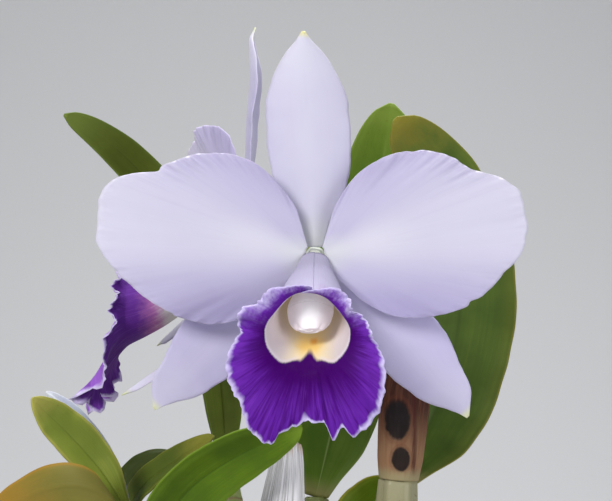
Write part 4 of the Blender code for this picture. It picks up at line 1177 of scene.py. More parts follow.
# Each patch's place to the east and up, its half width and its half height
SPATHE_PATCHES = ((29.5, 197.7, 3.5, 5.5), (30.5, 186.7, 2.6, 3.4))
SPATHE_SUNK = 0.8
SPATHE_KEEL = 0.5
SPATHE_GRID = (96, 90)


def spathe_place(turn, along):
    foot = np.array(BULBS["pseudobulb_right"][1], float) + (0, 0, GAP - SPATHE_SUNK)
    top = np.array(SPATHE_TOP, float)
    axis = (foot, between(foot, top, 0.35), between(foot, top, 0.65), top)
    radius = value_on(SPATHE_SWELL, along) * (1 + 0.02 * ripple(turn, 2.1, 3) + 0.008 * ripple(turn, 0.4, 1))
    keel = SPATHE_KEEL * swell_at(np.cos(turn), 0.98, 0.12)
    return round_place(axis, along, turn, radius + keel)


spathe_look, wire, shader = new_finish("brown_spathe", Specular_IOR_Level=0.2)
turn, along = noted(wire, "turn", "along")
around = triple(wire, turn.apply("COSINE") * 5, turn.apply("SINE") * 5, along * 2)
fibres = grain(wire, 1.0, 5, place=around, rough=0.65)
east, depth, height = own_place(wire, "XYZ")
colour = (along + (fibres - 0.5) * 0.3).rise(0.1, 0.6).blend(rgb(146, 112, 82), rgb(60, 29, 19))
colour = (fibres.rise(0.45, 0.62) * 0.25).blend(colour, rgb(150, 100, 74))
colour = ((east + (fibres - 0.5) * 0.003).hill(0.0341, 0.0011) * 0.75).blend(colour, rgb(62, 12, 10))
patches = None
for x, z, half_wide, half_tall in SPATHE_PATCHES:
    far = (((east / MM - x) / half_wide) ** 2 + ((height / MM - z) / half_tall) ** 2) ** 0.5
    far = far + (grain(wire, 600, 3) - 0.5) * 0.3
    one = far.rise(1.16, 0.86) * depth.rise(0.0055, 0.0035)
    patches = one if patches is None else patches.higher(one)
    rim = far.hill(1.18, 0.2) * depth.rise(0.0055, 0.0035)
    colour = (rim * 0.35).blend(colour, rgb(96, 50, 36))
# The two patches are painted near black.
near_black_patch_tone = grain(wire, 300, 3).rise(0.3, 0.7).blend(rgb(9, 8, 12), rgb(22, 17, 20))
colour = (patches * 0.95).blend(colour, near_black_patch_tone)
foot = (along + (fibres - 0.5) * 0.06).rise(0.11, 0.02) * (1 - patches)
colour = foot.blend(colour, rgb(154, 142, 106))
paint(wire, shader, colour, fibres.rise(0.3, 0.7, 0.55, 0.75), fibres * 1.2 - patches * 0.6, 0.7, 0.5)
place_piece("spathe", round_mesh("spathe", *SPATHE_GRID, spathe_place), spathe_look)
print("spathe built with", len(SPATHE_PATCHES), "dark patches")

# %% [markdown]
# ## Leaves
# The leaves are thick and leathery, folded a little along the midrib, with a rounded margin. One leaf
# could be copied and bent, but no two here are alike, so each has a row of its own in a table. It follows
# a curve from its pseudobulb out to its tip, and its width turns as it goes.

# %% Leaf shapes
# Each leaf's pseudobulb, start on its top, two places that it bends to, tip, half width, the way that its
# width lies at foot and tip, and how deep its channel is
LEAVES = {
    "leaf_upper_left": (
        "pseudobulb_back", (0, 0, 0), (-23, 78, 219), (-33, 72, 269), (-70, 45, 286.5),
        7.8, (0.87, 0.5, 0), (0.62, 0.3, 0.72), 0.22,
    ),
    "leaf_behind": (
        "pseudobulb_middle_back", (0, 0, 0), (16, 52, 205), (25, 44, 251), (29, 22, 288),
        15.0, (0.94, -0.2, -0.3), (0.92, -0.3, 0.2), 0.34,
    ),
    "leaf_right": (
        "pseudobulb_back_right", (0, 0, -0.6), (50, 42, 206), (62, 30, 247), (29, 2, 282),
        16.7, (1, 0.1, 0), (0.75, 0.1, 0.65), 0.2,
    ),
    "leaf_low_left": (
        "pseudobulb_left", (0, -2.4, 0), (-51.4, -18, 190), (-63.2, -20, 198), (-68.4, -26, 206),
        6.5, (0.5, 0.65, 0.5), (0.45, 0.6, 0.66), 0.3,
    ),
    "leaf_low_left_back": (
        "pseudobulb_left", (0, 2.4, 0), (-49, -5, 186), (-57, -6, 199), (-66.5, -14, 206.6),
        4.1, (0.2, 0.9, 0.3), (0.2, 0.9, 0.35), 0.2,
    ),
    "leaf_front_left": (
        "pseudobulb_front_left", (-2.6, 0, -0.8), (-40.5, -33.5, 184), (-58.5, -38, 194), (-80.5, -41, 171.5),
        9.2, (0.5, -0.75, -0.4), (0.05, -0.6, -0.8), 0.15,
    ),
    "leaf_front": (
        "pseudobulb_front_left", (2.6, 0, 0.35), (-37, -27, 181), (-17.8, -23, 190), (3, -22, 198),
        8.5, (0.62, 0.25, -0.72), (0.4, 0.4, -0.8), 0.3,
    ),
    "leaf_arching": (
        "pseudobulb_back_left", (-2.4, 2, 0), (-50, 11, 178), (-40, 15, 190.5), (-25, 15, 178),
        6.0, (0.2, -0.75, -0.6), (0.2, -0.75, -0.6), 0.3,
    ),
    "leaf_narrow": (
        "pseudobulb_back_left", (2.2, -2, 0), (-48, 0, 177), (-35.6, -8, 185), (-21, -12, 194.5),
        5.0, (0.3, -0.8, -0.5), (0.3, -0.8, -0.5), 0.35,
    ),
    "leaf_low_right": (
        "pseudobulb_inner", (0, 0, 0), (15, 12.5, 164), (22, 14, 175), (31, 14.5, 178),
        7.5, (0.6, 0.2, -0.75), (0.5, -0.2, -0.8), 0.25,
    ),
}
LEAF_OUTLINE = (
    (0, 0.25), (0.1, 0.42), (0.28, 0.86), (0.5, 1), (0.75, 0.84), (0.92, 0.45), (0.975, 0.22), (1, 0.05),
)
BROAD_LEAF_OUTLINE = (
    (0, 0.25), (0.05, 0.42), (0.14, 0.78), (0.3, 0.97), (0.5, 1), (0.7, 0.9), (0.82, 0.76), (0.92, 0.55),
    (0.975, 0.33), (1, 0.05),
)
BROAD_LEAVES = (
    "leaf_upper_left", "leaf_behind", "leaf_right", "leaf_front", "leaf_narrow", "leaf_front_left",
)
LEAF_THICKNESS = 1.5
FOOT_SUNK = 1.3
LEAF_GROOVE = 0.35
LEAF_GRID = (41, 104)


def leaf_place(name):
    bulb, start, bend_low, bend_high, tip, half, side_low, side_high, channel = LEAVES[name]
    outline = BROAD_LEAF_OUTLINE if name in BROAD_LEAVES else LEAF_OUTLINE
    foot = np.array(BULBS[bulb][1], float) + start + (0, 0, GAP - FOOT_SUNK)
    spine = [foot, bend_low, bend_high, tip]
    side_low, side_high = np.array(side_low, float), np.array(side_high, float)

    def way_and_side(along):
        way = bezier_way(spine, along)
        side = between(side_low, side_high, np.asarray(along, float)[..., None])
        return way, unit(side - way * (side * way).sum(-1, keepdims=True))

    way, side = way_and_side(0.0)
    seat = LEAF_THICKNESS / 2 * math.hypot(way[0], way[1]) + half * outline[0][1] * abs(side[2])
    spine[0] = foot + (0, 0, seat)

    def place(across, along):
        way, side = way_and_side(along)
        face = unit(np.cross(side, way))
        width = half * value_on(outline, along)
        fold = channel * width * np.abs(across) ** 1.4 * (1 - 0.35 * along)
        fold = fold - LEAF_GROOVE * midrib(across, along, 0.07, 0.15)
        fold = fold + 0.03 * width * across**2 * ripple(along + 0.03 * across, 0.33, len(name))
        width = width * (1 + 0.01 * ripple(along, 0.2, len(name) + np.sign(across)))
        return bezier(spine, along) + side * (across * width)[..., None] + face * fold[..., None]

    return place


def leaf_thickness(across, along):
    rim = np.minimum(eased(0, 0.3, 1 - np.abs(across)), eased(0, 0.05, 1 - along))
    return between(0.45, LEAF_THICKNESS, rim * (1 - 0.45 * along))


print(len(LEAVES), "leaves, the widest", 2 * max(row[5] for row in LEAVES.values()), "mm")

# %% [markdown]
# ## The look of a leaf
# A leaf is smooth and only a little glossy. Its green is cloudy, with fine veins along it and a midline of
# another tone. Young leaves are fresh green, and old ones olive with yellow margins and tips. One finish
# knows where these parts lie, and every leaf gives it a row of colours, which is shorter than ten
# finishes and easier to change.


# %% Leaf finishes and leaves
def leaf_finish(name, colours, tip_from, edge_wide, gloss=0.16):
    body, shade, edge, tip, midline = (rgb(*colour) for colour in colours)
    finish, wire, shader = new_finish(
        name, Specular_IOR_Level=gloss, Coat_Weight=gloss / 8, Coat_Roughness=0.35, Subsurface_Weight=0.06,
        Subsurface_Scale=0.001, Subsurface_Radius=(0.6, 1, 0.2),
    )
    across, along, side, margin = noted(wire, "across", "along", "side", "margin")
    veins = grain(wire, 1.0, 4, place=triple(wire, across * 13, along * 1.8, side), rough=0.6)
    patchy = grain(wire, 70, 4)
    colour = patchy.rise(0.32, 0.7).blend(body, shade)
    colour = (veins.rise(0.58, 0.42) * 0.35).blend(colour, shade)
    colour = (veins.rise(0.62, 0.75) * 0.12).blend(colour, edge)
    colour = (abs(across).rise(0.6, 1.0) * 0.15).blend(colour, edge)
    colour = (across.hill(0, 0.07) * along.rise(1.0, 0.7) * 0.7).blend(colour, midline)
    blotch = grain(wire, 130, 5, rough=0.7)
    colour = (along + (blotch - 0.5) * 0.22).rise(tip_from, 1.02).blend(colour, tip)
    rim = (margin + (blotch - 0.5) * 0.05).rise(edge_wide, edge_wide * 0.25)
    colour = (rim * 0.6).blend(colour, edge)
    specks = grain(wire, 1100, 2).rise(0.71, 0.76)
    colour = (specks * 0.35).blend(colour, rgb(96, 74, 30))
    colour = side.rise(0.1, -0.1, 0.0, 0.15).blend(colour, rgb(148, 164, 104))
    colour = (along.rise(0.06, 0.0) * 0.7).blend(colour, rgb(150, 140, 92))
    rough = patchy.rise(0.3, 0.7, 0.46, 0.6)
    paint(wire, shader, colour, rough, veins * 0.5 + grain(wire, 1500, 2) * 0.12, 0.4, 0.3)
    return finish


# Each leaf's body, shaded, edge, tip and midline colours, where its tip starts and how wide its edge is
LEAF_LOOKS = {
    "leaf_upper_left": (
        ((88, 102, 30), (74, 86, 20), (108, 126, 50), (96, 112, 40), (60, 70, 20)), 0.8, 0.1,
    ),
    "leaf_behind": (
        ((104, 134, 42), (80, 112, 28), (126, 148, 62), (112, 136, 48), (150, 168, 100)), 0.75, 0.08,
    ),
    "leaf_right": (
        ((88, 112, 42), (70, 92, 32), (142, 134, 46), (118, 112, 36), (64, 84, 30)), 0.86, 0.04,
    ),
    "leaf_low_left": (
        ((134, 146, 56), (108, 124, 42), (168, 164, 80), (160, 158, 76), (100, 116, 44)), 0.7, 0.14,
    ),
    "leaf_low_left_back": (
        ((196, 202, 218), (164, 172, 190), (214, 218, 230), (196, 200, 206), (160, 168, 184)), 0.8, 0.1,
    ),
    "leaf_front_left": (
        ((98, 84, 20), (86, 74, 16), (150, 100, 12), (140, 94, 14), (90, 76, 16)), 0.6, 0.2, 0.02,
    ),
    "leaf_front": (
        ((82, 110, 12), (62, 88, 8), (104, 132, 30), (100, 128, 30), (56, 84, 10)), 0.88, 0.05,
    ),
    "leaf_arching": (
        ((60, 72, 24), (46, 56, 16), (72, 84, 30), (66, 76, 24), (48, 56, 18)), 0.8, 0.08,
    ),
    "leaf_narrow": (
        ((88, 102, 30), (70, 84, 24), (116, 120, 44), (136, 132, 50), (70, 82, 24)), 0.72, 0.1,
    ),
    "leaf_low_right": (
        ((104, 132, 20), (80, 106, 14), (168, 160, 50), (160, 150, 44), (80, 110, 20)), 0.8, 0.1,
    ),
}
for name, look in LEAF_LOOKS.items():
    mesh = blade_mesh(name, *LEAF_GRID, leaf_place(name), leaf_thickness)
    place_piece(name, mesh, leaf_finish(name, *look))
print(len(LEAF_LOOKS), "leaves built")

# %% [markdown]
# ## Round stems
# The flower stem, the rhizome and the roots are all round stems along a curve. A curve object with a
# bevel could make them, but ribs, swellings and rings are easier to give as numbers. So one helper makes
# rings of points that are carried along the curve without twisting.

# %% Stem helpers
STEM_WELD = 1e-7


def smooth_path(corners, steps):
    """Points along a smooth curve through all the corners given."""
    corners = [np.array(corner, float) for corner in corners]
    corners = [corners[0] * 2 - corners[1], *corners, corners[-1] * 2 - corners[-2]]
    path = []
    for a, b, c, d in zip(corners, corners[1:], corners[2:], corners[3:]):
        square, cube = a * 2 - b * 5 + c * 4 - d, b * 3 - a - c * 3 + d
        for t in np.arange(steps) / steps:
            path.append((b * 2 + (c - a) * t + square * t * t + cube * t**3) / 2)
    return np.array(path + [corners[-2]])


def stem_shell(path, radii, sides, ribs=0, rib_depth=0.0):
    """Rings of points along a path, with rounded ends. Gives the points, faces and how far along each is."""
    way = unit(np.gradient(path, axis=0))
    across = unit(np.cross(way[0], (0.3, 0.9, 0.1)))
    rings, lengths = [], np.linspace(0, 1, len(path))
    turn = np.arange(sides) * math.tau / sides
    for centre, ahead, radius in zip(path, way, radii):
        across = unit(across - ahead * (across @ ahead))
        up = np.cross(ahead, across)
        wide = (radius * (1 + rib_depth * np.cos(turn * ribs)))[:, None]
        rings.append(centre + across * np.cos(turn)[:, None] * wide + up * np.sin(turn)[:, None] * wide)
    for end, step in ((0, -1), (-1, 1)):
        middle, bulge = path[end], way[end] * radii[end] * 0.5 * step
        rounded = middle + (rings[end] - middle) * 0.7 + bulge * 0.8
        point = np.repeat((middle + bulge)[None], sides, axis=0)
        rings = [point, rounded, *rings] if end == 0 else [*rings, rounded, point]
    lengths = np.concatenate([[0, 0], lengths, [1, 1]])
    number = np.arange(sides)
    faces = []
    for ring in range(len(rings) - 1):
        low, high, after = ring * sides + number, (ring + 1) * sides + number, (number + 1) % sides
        faces += np.stack([low, ring * sides + after, (ring + 1) * sides + after, high], axis=1).tolist()
    return np.concatenate(rings), faces, np.repeat(lengths, sides)


def join_shells(name, shells):
    """Several stem shells as one mesh."""
    places, faces, lengths, part, first = [], [], [], [], 0
    for number, (shell_places, shell_faces, along) in enumerate(shells):
        places.append(shell_places)
        faces += [[corner + first for corner in face] for face in shell_faces]
        lengths.append(along)
        part.append(np.full(len(along), float(number)))
        first += len(shell_places)
    notes = {"along": np.concatenate(lengths), "part": np.concatenate(part)}
    return face_outward(new_mesh(name, np.concatenate(places), faces, notes), STEM_WELD)


print("a path through three corners has", len(smooth_path([(0, 0, 0), (0, 0, 5), (1, 0, 9)], 8)), "points")

# %% [markdown]
# ## The flower stem
# The stem rises from its pseudobulb behind the blooms and forks into two pedicels, which swell into the
# ribbed ovaries that carry the flowers. Each pedicel starts straight behind its flower and then bends
# round to the fork. It takes its start from the table of blooms, so it meets its flower wherever that is
# placed.

# %% Build the flower stem
STEM_FORK = (3.0, 4.0, 219)
STALK = ((-0.4, -4.9, 194.8), (0.4, -1, 207), STEM_FORK)
PEDICEL_JOINS = {"main_bloom": 1.4, "back_bloom": 2.8}
STALK_RADIUS = 1.7
STALK_FLARE = 0.12
OVARY_SWELL = ((0, 1.9), (0.12, 2.2), (0.3, 2.5), (0.45, 2.75), (0.62, 2.2), (0.8, 1.7), (1, 1.6))
OVARY_RIBS = 6
OVARY_RIB_DEPTH = 0.05


def ovary_shell(bloom):
    """From the knob in the flower's middle, back through the ribbed ovary and round to the fork."""
    facts = BLOOMS[bloom]
    middle = np.array(facts["middle"], float)
    turn = math.radians(facts["facing"])
    back = np.array((-math.sin(turn), math.cos(turn), 0))
    fork = np.array(STEM_FORK) - (0, 0, PEDICEL_JOINS[bloom])
    straight = [middle + back * far * facts["size"] for far in (-1.5, 2.8, 5, 14)]
    bend = between(straight[-1], fork, 0.45) + (0, 0, 5) + back * 4
    path = smooth_path(straight + [middle + back * 20 + (0, 0, -1), bend, fork], 12)
    swell = value_on(OVARY_SWELL, np.linspace(0, 1, len(path)))
    return stem_shell(path, swell, 36, OVARY_RIBS, OVARY_RIB_DEPTH)


stalk = smooth_path(STALK, 20)
stalk_radii = STALK_RADIUS + STALK_FLARE * eased(0.9, 1, np.linspace(0, 1, len(stalk)))
shells = [stem_shell(stalk, stalk_radii, 32)] + [ovary_shell(bloom) for bloom in BLOOMS]
stem_mesh = join_shells("flower_stem", shells)
stem_look, wire, shader = new_finish(
    "flower_stem", Coat_Weight=0.15, Coat_Roughness=0.3, Specular_IOR_Level=0.4
)
along = noted(wire, "along")
mist = grain(wire, 260, 4)
colour = mist.rise(0.3, 0.7).blend(rgb(132, 148, 84), rgb(108, 126, 62))
colour = (grain(wire, 90, 3).rise(0.5, 0.72) * 0.7).blend(colour, rgb(134, 96, 96))
west, depth = own_place(wire, "XY")
near_bloom = depth.rise(-0.031, -0.035).higher(west.rise(-0.0105, -0.0145) * along.rise(0.1, 0.05))
colour = (near_bloom * 0.9).blend(colour, rgb(206, 210, 202))
paint(wire, shader, colour, mist.rise(0.2, 0.8, 0.4, 0.55), grain(wire, 900, 3), 0.4, 0.15)
place_piece("flower_stem", stem_mesh, stem_look)
print("flower stem built:", len(stem_mesh.polygons), "faces")

# %% [markdown]
# ## Rhizome and roots
# The rhizome is the green, corky stem that joins all pseudobulbs. Its roots are silvery, because a spongy
# skin that soaks up water covers them, and greener at their tips. They could be drawn one by one, but here
# they grow by a rule: each leaves the rhizome on its outer side and wanders over the bark towards the
# pot's wall, with the same draws of chance as its plain solid.

# %% Build the rhizome and its roots
CHIP_SEED = 7
ROOTS_OUT = 46
ROOT_SHORTEST = 12
RHIZOME_PITCH = 7


def rhizome_path(steps):
    height = BARK_TOP + GAP + RHIZOME_RADIUS
    return smooth_path([(*row[0], height) for row in BULBS.values()], steps)


def root_paths(steps):
    """Roots leave the rhizome on its outer side, lie on the bark and wander towards the pot's wall."""
    wander = random.Random(CHIP_SEED + 1)
    height = BARK_TOP + GAP + ROOT_RADIUS
    paths = []
    for row in BULBS.values():
        foot = np.array((*row[0], 0.0))
        outward = unit(foot)
        sideways = np.array((-outward[1], outward[0], 0))
        length = ROOTS_OUT - np.linalg.norm(foot)
        if length < ROOT_SHORTEST:
            continue
        swing = wander.uniform(-9, 9)
        paths.append(smooth_path([
            foot + (0, 0, BARK_TOP + GAP + RHIZOME_RADIUS - 0.4),
            foot + outward * 4 + sideways * swing * 0.1 + (0, 0, height + 0.8),
            foot + outward * length * 0.5 + sideways * swing * 0.6 + (0, 0, height),
            foot + outward * length + sideways * swing + (0, 0, height),
        ], steps))
    return paths


creeping = rhizome_path(14)
places_along = np.arange(len(creeping))
waists = 0.05 * np.cos(places_along * math.tau / RHIZOME_PITCH)
scars = 0.03 * swell_at(places_along % RHIZOME_PITCH, RHIZOME_PITCH / 2, 0.6)
rings = RHIZOME_RADIUS * (0.96 - waists + scars)
shells = [stem_shell(creeping, rings, 32, 5, 0.02)]
for number, root in enumerate(root_paths(14)):
    taper = ROOT_RADIUS * (1 - 0.35 * np.linspace(0, 1, len(root)))
    shells.append(stem_shell(root, taper * (1 + 0.05 * ripple(np.arange(len(root)), 9, number)), 20))
rhizome_mesh = join_shells("rhizome", shells)
rhizome_look, wire, shader = new_finish("rhizome_and_roots", Specular_IOR_Level=0.35)
along, part = noted(wire, "along", "part")
roots = part.rise(0.2, 0.8)
husk = grain(wire, 240, 5, rough=0.65)
cork = husk.rise(0.35, 0.65).blend(rgb(96, 104, 60), rgb(132, 112, 78))
silver = husk.rise(0.42, 0.6).blend(rgb(196, 194, 176), rgb(150, 146, 120))
silver = (along * roots).rise(0.9, 1.0).blend(silver, rgb(120, 138, 60))
colour = roots.blend(cork, silver)
paint(wire, shader, colour, husk.rise(0.3, 0.7, 0.6, 0.9), husk + grain(wire, 1300, 3) * 0.3, 0.8, 0.4)
place_piece("rhizome", rhizome_mesh, rhizome_look)
print("rhizome with", len(shells) - 1, "roots")

# %% [markdown]
# ## Bark
# Orchids are potted in chips of fir bark. The pot is filled by one body whose top is uneven, and rough
# chips lie on it at all angles. Each chip starts as a block that is cut into small faces, pinched on top
# and pushed about by noise, with the same draws of chance as its plain solid, so it lies in the same
# place. Small crumbs fill the spaces between them. Every chip keeps a number, which the finish turns into
# its own tone of brown.

# %% Bark helpers
POT_HEIGHT = 112.0
POT_BASE_RADIUS = 44.0
POT_TOP_RADIUS = 59.0
POT_WALL = 5.0
POT_FLOOR = 7.0
CHIP_COUNT = 90
CRUMB_COUNT = 420
CRUMB_NUMBER = 500
CHIP_CUTS = 3
CHIP_SOFT = 0.45
CHIP_PINCH = 0.72
GOLDEN_TURN = math.pi * (3 - math.sqrt(5))


def pot_inner_radius(height):
    return between(POT_BASE_RADIUS, POT_TOP_RADIUS, height / POT_HEIGHT) - POT_WALL


covered = [(rhizome_path(3), RHIZOME_RADIUS)] + [(path, ROOT_RADIUS) for path in root_paths(3)]


def bark_is_covered(place, reach):
    """True where the rhizome or a root lies on the bark, so that no chip may stand there."""
    flat = np.array(place)
    for path, clear in covered:
        for start, end in zip(path, path[1:]):
            for part in (0, 0.5):
                if np.linalg.norm(between(start, end, part)[:2] - flat) < clear + reach + 0.5:
                    return True
    return False


def spiral_place(number, count, reach, turn=0.0):
    """The places of seeds in a sunflower: spread evenly over a disc, in no rows."""
    far, way = reach * math.sqrt((number + 0.5) / count), number * GOLDEN_TURN + turn
    return far * math.cos(way), far * math.sin(way)


def corner_shifts(draw, most):
    return [[draw.uniform(-most, most) for axis in range(3)] for corner in range(8)]


def chip_faces(bm, size, spin, tilt, place, height, shifts, number, layer):
    """Adds one chip to the mesh: a block, cut fine, pinched on top and roughened."""
    chip = bmesh.new()
    bmesh.ops.create_cube(chip, size=1)
    for vert, shift in zip(chip.verts, shifts):
        pinch = CHIP_PINCH if vert.co.z > 0 else 1.0
        stretched = Matrix.Diagonal(size) @ (vert.co + Vector(shift))
        vert.co = Vector((stretched.x * pinch, stretched.y * pinch, stretched.z))
    bmesh.ops.subdivide_edges(chip, edges=chip.edges, cuts=CHIP_CUTS, use_grid_fill=True)
    bmesh.ops.smooth_vert(
        chip, verts=chip.verts, factor=CHIP_SOFT, use_axis_x=True, use_axis_y=True, use_axis_z=True
    )
    for vert in chip.verts:
        x, y, z = vert.co
        layers = 0.3 * math.sin(z * 4.2 + 1.3 * math.sin(x * 0.9 + number))
        lumps = 0.25 * math.sin(x * 1.9 + number) * math.sin(y * 2.3 + 2 * number)
        lumps += 0.12 * math.sin(5 * x + 7 * y)
        outward = Vector((x, y, 0)).normalized()
        vert.co += outward * (layers * 0.6 + lumps * 0.5) + Vector((0, 0, lumps * 0.6))
    turned = Matrix.Rotation(spin, 4, "Z") @ Matrix.Rotation(tilt, 4, "X")
    chip.transform(Matrix.Translation((*place, height)) @ turned)
    copied = [bm.verts.new(vert.co * MM) for vert in chip.verts]
    for vert in copied:
        vert[layer] = number
    chip.verts.index_update()
    for face in chip.faces:
        bm.faces.new([copied[vert.index] for vert in face.verts])
    chip.free()


print("bark lies", round(pot_inner_radius(BARK_TOP), 1), "mm out to the pot's wall")

# %% Build the bark
bark_low = POT_FLOOR + GAP
bottom_radius = pot_inner_radius(bark_low) - 0.5
top_radius = pot_inner_radius(BARK_TOP) - 0.5
bm = bmesh.new()
chip_number = bm.verts.layers.float.new("part")
draw = random.Random(CHIP_SEED)
chips = 0
for number in range(CHIP_COUNT * 2):
    place = spiral_place(number, CHIP_COUNT * 2, top_radius - 6)
    size = (draw.uniform(6, 11), draw.uniform(5, 8), draw.uniform(3.2, 5))
    spin, tilt = draw.uniform(0, math.pi), draw.uniform(-0.4, 0.4)
    if bark_is_covered(place, math.hypot(size[0], size[1]) / 2):
        continue
    shifts = corner_shifts(draw, 0.06)
    chip_faces(bm, size, spin, tilt, place, BARK_TOP + 0.4, shifts, number, chip_number)
    chips += 1
draw = random.Random(CHIP_SEED + 2)
for number in range(CRUMB_COUNT):
    place = spiral_place(number, CRUMB_COUNT, top_radius - 2.5, 0.7)
    size = (draw.uniform(2.6, 5.2), draw.uniform(2, 3.6), draw.uniform(1.4, 2.6))
    spin, tilt = draw.uniform(0, math.pi), draw.uniform(-0.6, 0.6)
    shifts = corner_shifts(draw, 0.1)
    if bark_is_covered(place, -1.0):
        continue
    chip_faces(bm, size, spin, tilt, place, BARK_TOP + 0.1, shifts, CRUMB_NUMBER + number, chip_number)
chip_mesh = bpy.data.meshes.new("potting_bark_chips")
bm.to_mesh(chip_mesh)
bm.free()


def packed_place(turn, along):
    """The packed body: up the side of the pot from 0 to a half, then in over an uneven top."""
    up = np.minimum(1, along / 0.5)
    inward = np.maximum(0, (along - 0.5) / 0.5)
    radius = between(bottom_radius, top_radius, up) * (1 - inward * 0.97)
    lumps = 0.5 * (ripple(turn * 6 + radius * 0.4, 5.1, 2) * np.sin(math.pi * inward) - inward)
    height = between(bark_low, BARK_TOP, up) + lumps * (inward > 0)
    return points(np.cos(turn) * radius, np.sin(turn) * radius, height)


PACKED_GRID = (96, 81)
bm = bmesh.new()
bm.from_mesh(chip_mesh)
bm.from_mesh(round_mesh("packed_bark", *PACKED_GRID, packed_place))
bark_mesh = bpy.data.meshes.new("potting_bark")
bm.to_mesh(bark_mesh)
bm.free()
bark_mesh.shade_smooth()
bark_look, wire, shader = new_finish("fir_bark", Specular_IOR_Level=0.3)
flakes = grain(wire, 260, 5, (1, 1, 3), rough=0.65)
tone = (noted(wire, "part") * 0.377).apply("FRACT")
colour = tone.ramp(
    (0.0, rgb(70, 44, 30)), (1.0, rgb(150, 100, 68)), (0.35, rgb(96, 62, 42)), (0.7, rgb(122, 74, 48))
)
colour = (flakes.rise(0.5, 0.66) * 0.6).blend(colour, rgb(58, 36, 26))
colour = (grain(wire, 620, 3).rise(0.56, 0.7) * 0.5).blend(colour, rgb(172, 130, 96))
paint(wire, shader, colour, flakes.rise(0.3, 0.7, 0.75, 0.95), flakes + grain(wire, 1500, 3) * 0.35, 0.9, 0.7)
place_piece("potting_bark", bark_mesh, bark_look)
print(chips, "chips and", len(bark_mesh.polygons), "faces of bark")

# %% [markdown]
# ## The clay pot
# The pot is thrown and unglazed, with a thick rim. Its shape is a profile turned round the upright axis,
# in steps fine enough that the rim looks round. Dark discs could stand for the three drain holes, but the
# plain solid has real ones, so they are cut through the floor here too.

# %% Build the pot
POT_RIM_RADIUS = 65.0
POT_RIM_HEIGHT = 22.0
POT_EDGE = 1.2
DRAIN_RADIUS = 4.5
DRAIN_OUT = 21.0
DRAIN_ANGLES = (90, 210, 330)
DRAIN_SIDES = 48
POT_SIDES = 128
POT_SOFT = 1.4
POT_WELD = 0.00005
SHARP_FROM = 40
AXIS_GAP = 0.01


def rounded_profile(corners, cut):
    """The corners of a profile, each cut into a short soft curve."""
    soft = [corners[0]]
    for before, corner, after in zip(corners, corners[1:], corners[2:]):
        before, corner, after = (np.array(place, float) for place in (before, corner, after))
        near = min(cut, np.linalg.norm(before - corner) * 0.45)
        far = min(cut, np.linalg.norm(after - corner) * 0.45)
        start = corner + unit(before - corner) * near
        end = corner + unit(after - corner) * far
        for t in (0, 0.25, 0.5, 0.75, 1):
            soft.append(tuple(start * (1 - t) ** 2 + corner * 2 * t * (1 - t) + end * t * t))
    return soft + [corners[-1]]


rim_foot = POT_HEIGHT - POT_RIM_HEIGHT
rim_joint = between(POT_BASE_RADIUS, POT_TOP_RADIUS, rim_foot / POT_HEIGHT)
mouth_radius = pot_inner_radius(POT_HEIGHT)
profile = rounded_profile([
    (AXIS_GAP, POT_FLOOR), (pot_inner_radius(POT_FLOOR), POT_FLOOR), (mouth_radius, POT_HEIGHT - POT_EDGE),
    (mouth_radius + POT_EDGE, POT_HEIGHT), (POT_RIM_RADIUS - POT_EDGE, POT_HEIGHT),
    (POT_RIM_RADIUS, POT_HEIGHT - POT_EDGE), (POT_RIM_RADIUS - 2, rim_foot + POT_EDGE),
    (POT_RIM_RADIUS - 3, rim_foot), (rim_joint, rim_foot), (POT_BASE_RADIUS, POT_EDGE),
    (POT_BASE_RADIUS - POT_EDGE, 0), (AXIS_GAP, 0),
], POT_SOFT)
turns = np.arange(POT_SIDES)[:, None] * math.tau / POT_SIDES
radii, heights = np.array(profile).T
shell = points(radii * np.cos(turns), radii * np.sin(turns), heights).reshape(-1, 3)
pot_mesh = face_outward(new_mesh("pot", shell, ring_faces(POT_SIDES, len(profile))), POT_WELD)
blank = bpy.data.objects.new("pot_blank", pot_mesh)
drills = bpy.data.collections.new("drills")
bpy.context.scene.collection.children.link(drills)
bpy.context.scene.collection.objects.link(blank)
for angle in DRAIN_ANGLES:
    way = math.radians(angle)
    centre = Vector((DRAIN_OUT * math.cos(way), DRAIN_OUT * math.sin(way), POT_FLOOR / 2))
    hole = bmesh.new()
    bmesh.ops.create_cone(
        hole, segments=DRAIN_SIDES, radius1=DRAIN_RADIUS * MM, radius2=DRAIN_RADIUS * MM,
        depth=POT_FLOOR * 2 * MM, cap_ends=True, matrix=Matrix.Translation(centre * MM),
    )
    drill_mesh = bpy.data.meshes.new(f"drill_{angle}")
    hole.to_mesh(drill_mesh)
    hole.free()
    drills.objects.link(bpy.data.objects.new(f"drill_{angle}", drill_mesh))
drain = blank.modifiers.new("drain holes", "BOOLEAN")
drain.operation = "DIFFERENCE"
drain.operand_type = "COLLECTION"
drain.collection = drills
bpy.context.view_layer.update()
drained = bpy.data.meshes.new_from_object(blank.evaluated_get(bpy.context.evaluated_depsgraph_get()))
for spent in [blank, *drills.objects]:
    bpy.data.objects.remove(spent, do_unlink=True)
bpy.data.collections.remove(drills)
drained.shade_smooth()
drained.set_sharp_from_angle(angle=math.radians(SHARP_FROM))
drained.materials.clear()
print("pot:", len(drained.polygons), "faces, with", len(DRAIN_ANGLES), "drain holes")

# %% [markdown]
# ## Terracotta
# Old clay pots carry fine rings from turning, dark pores, and white lime where water dried below the rim
# and near the base. The rings are noise that changes with the height and hardly at all round the pot, and
# the lime is cloudy noise that is kept to two bands. Nothing has to be painted by hand or laid out flat.

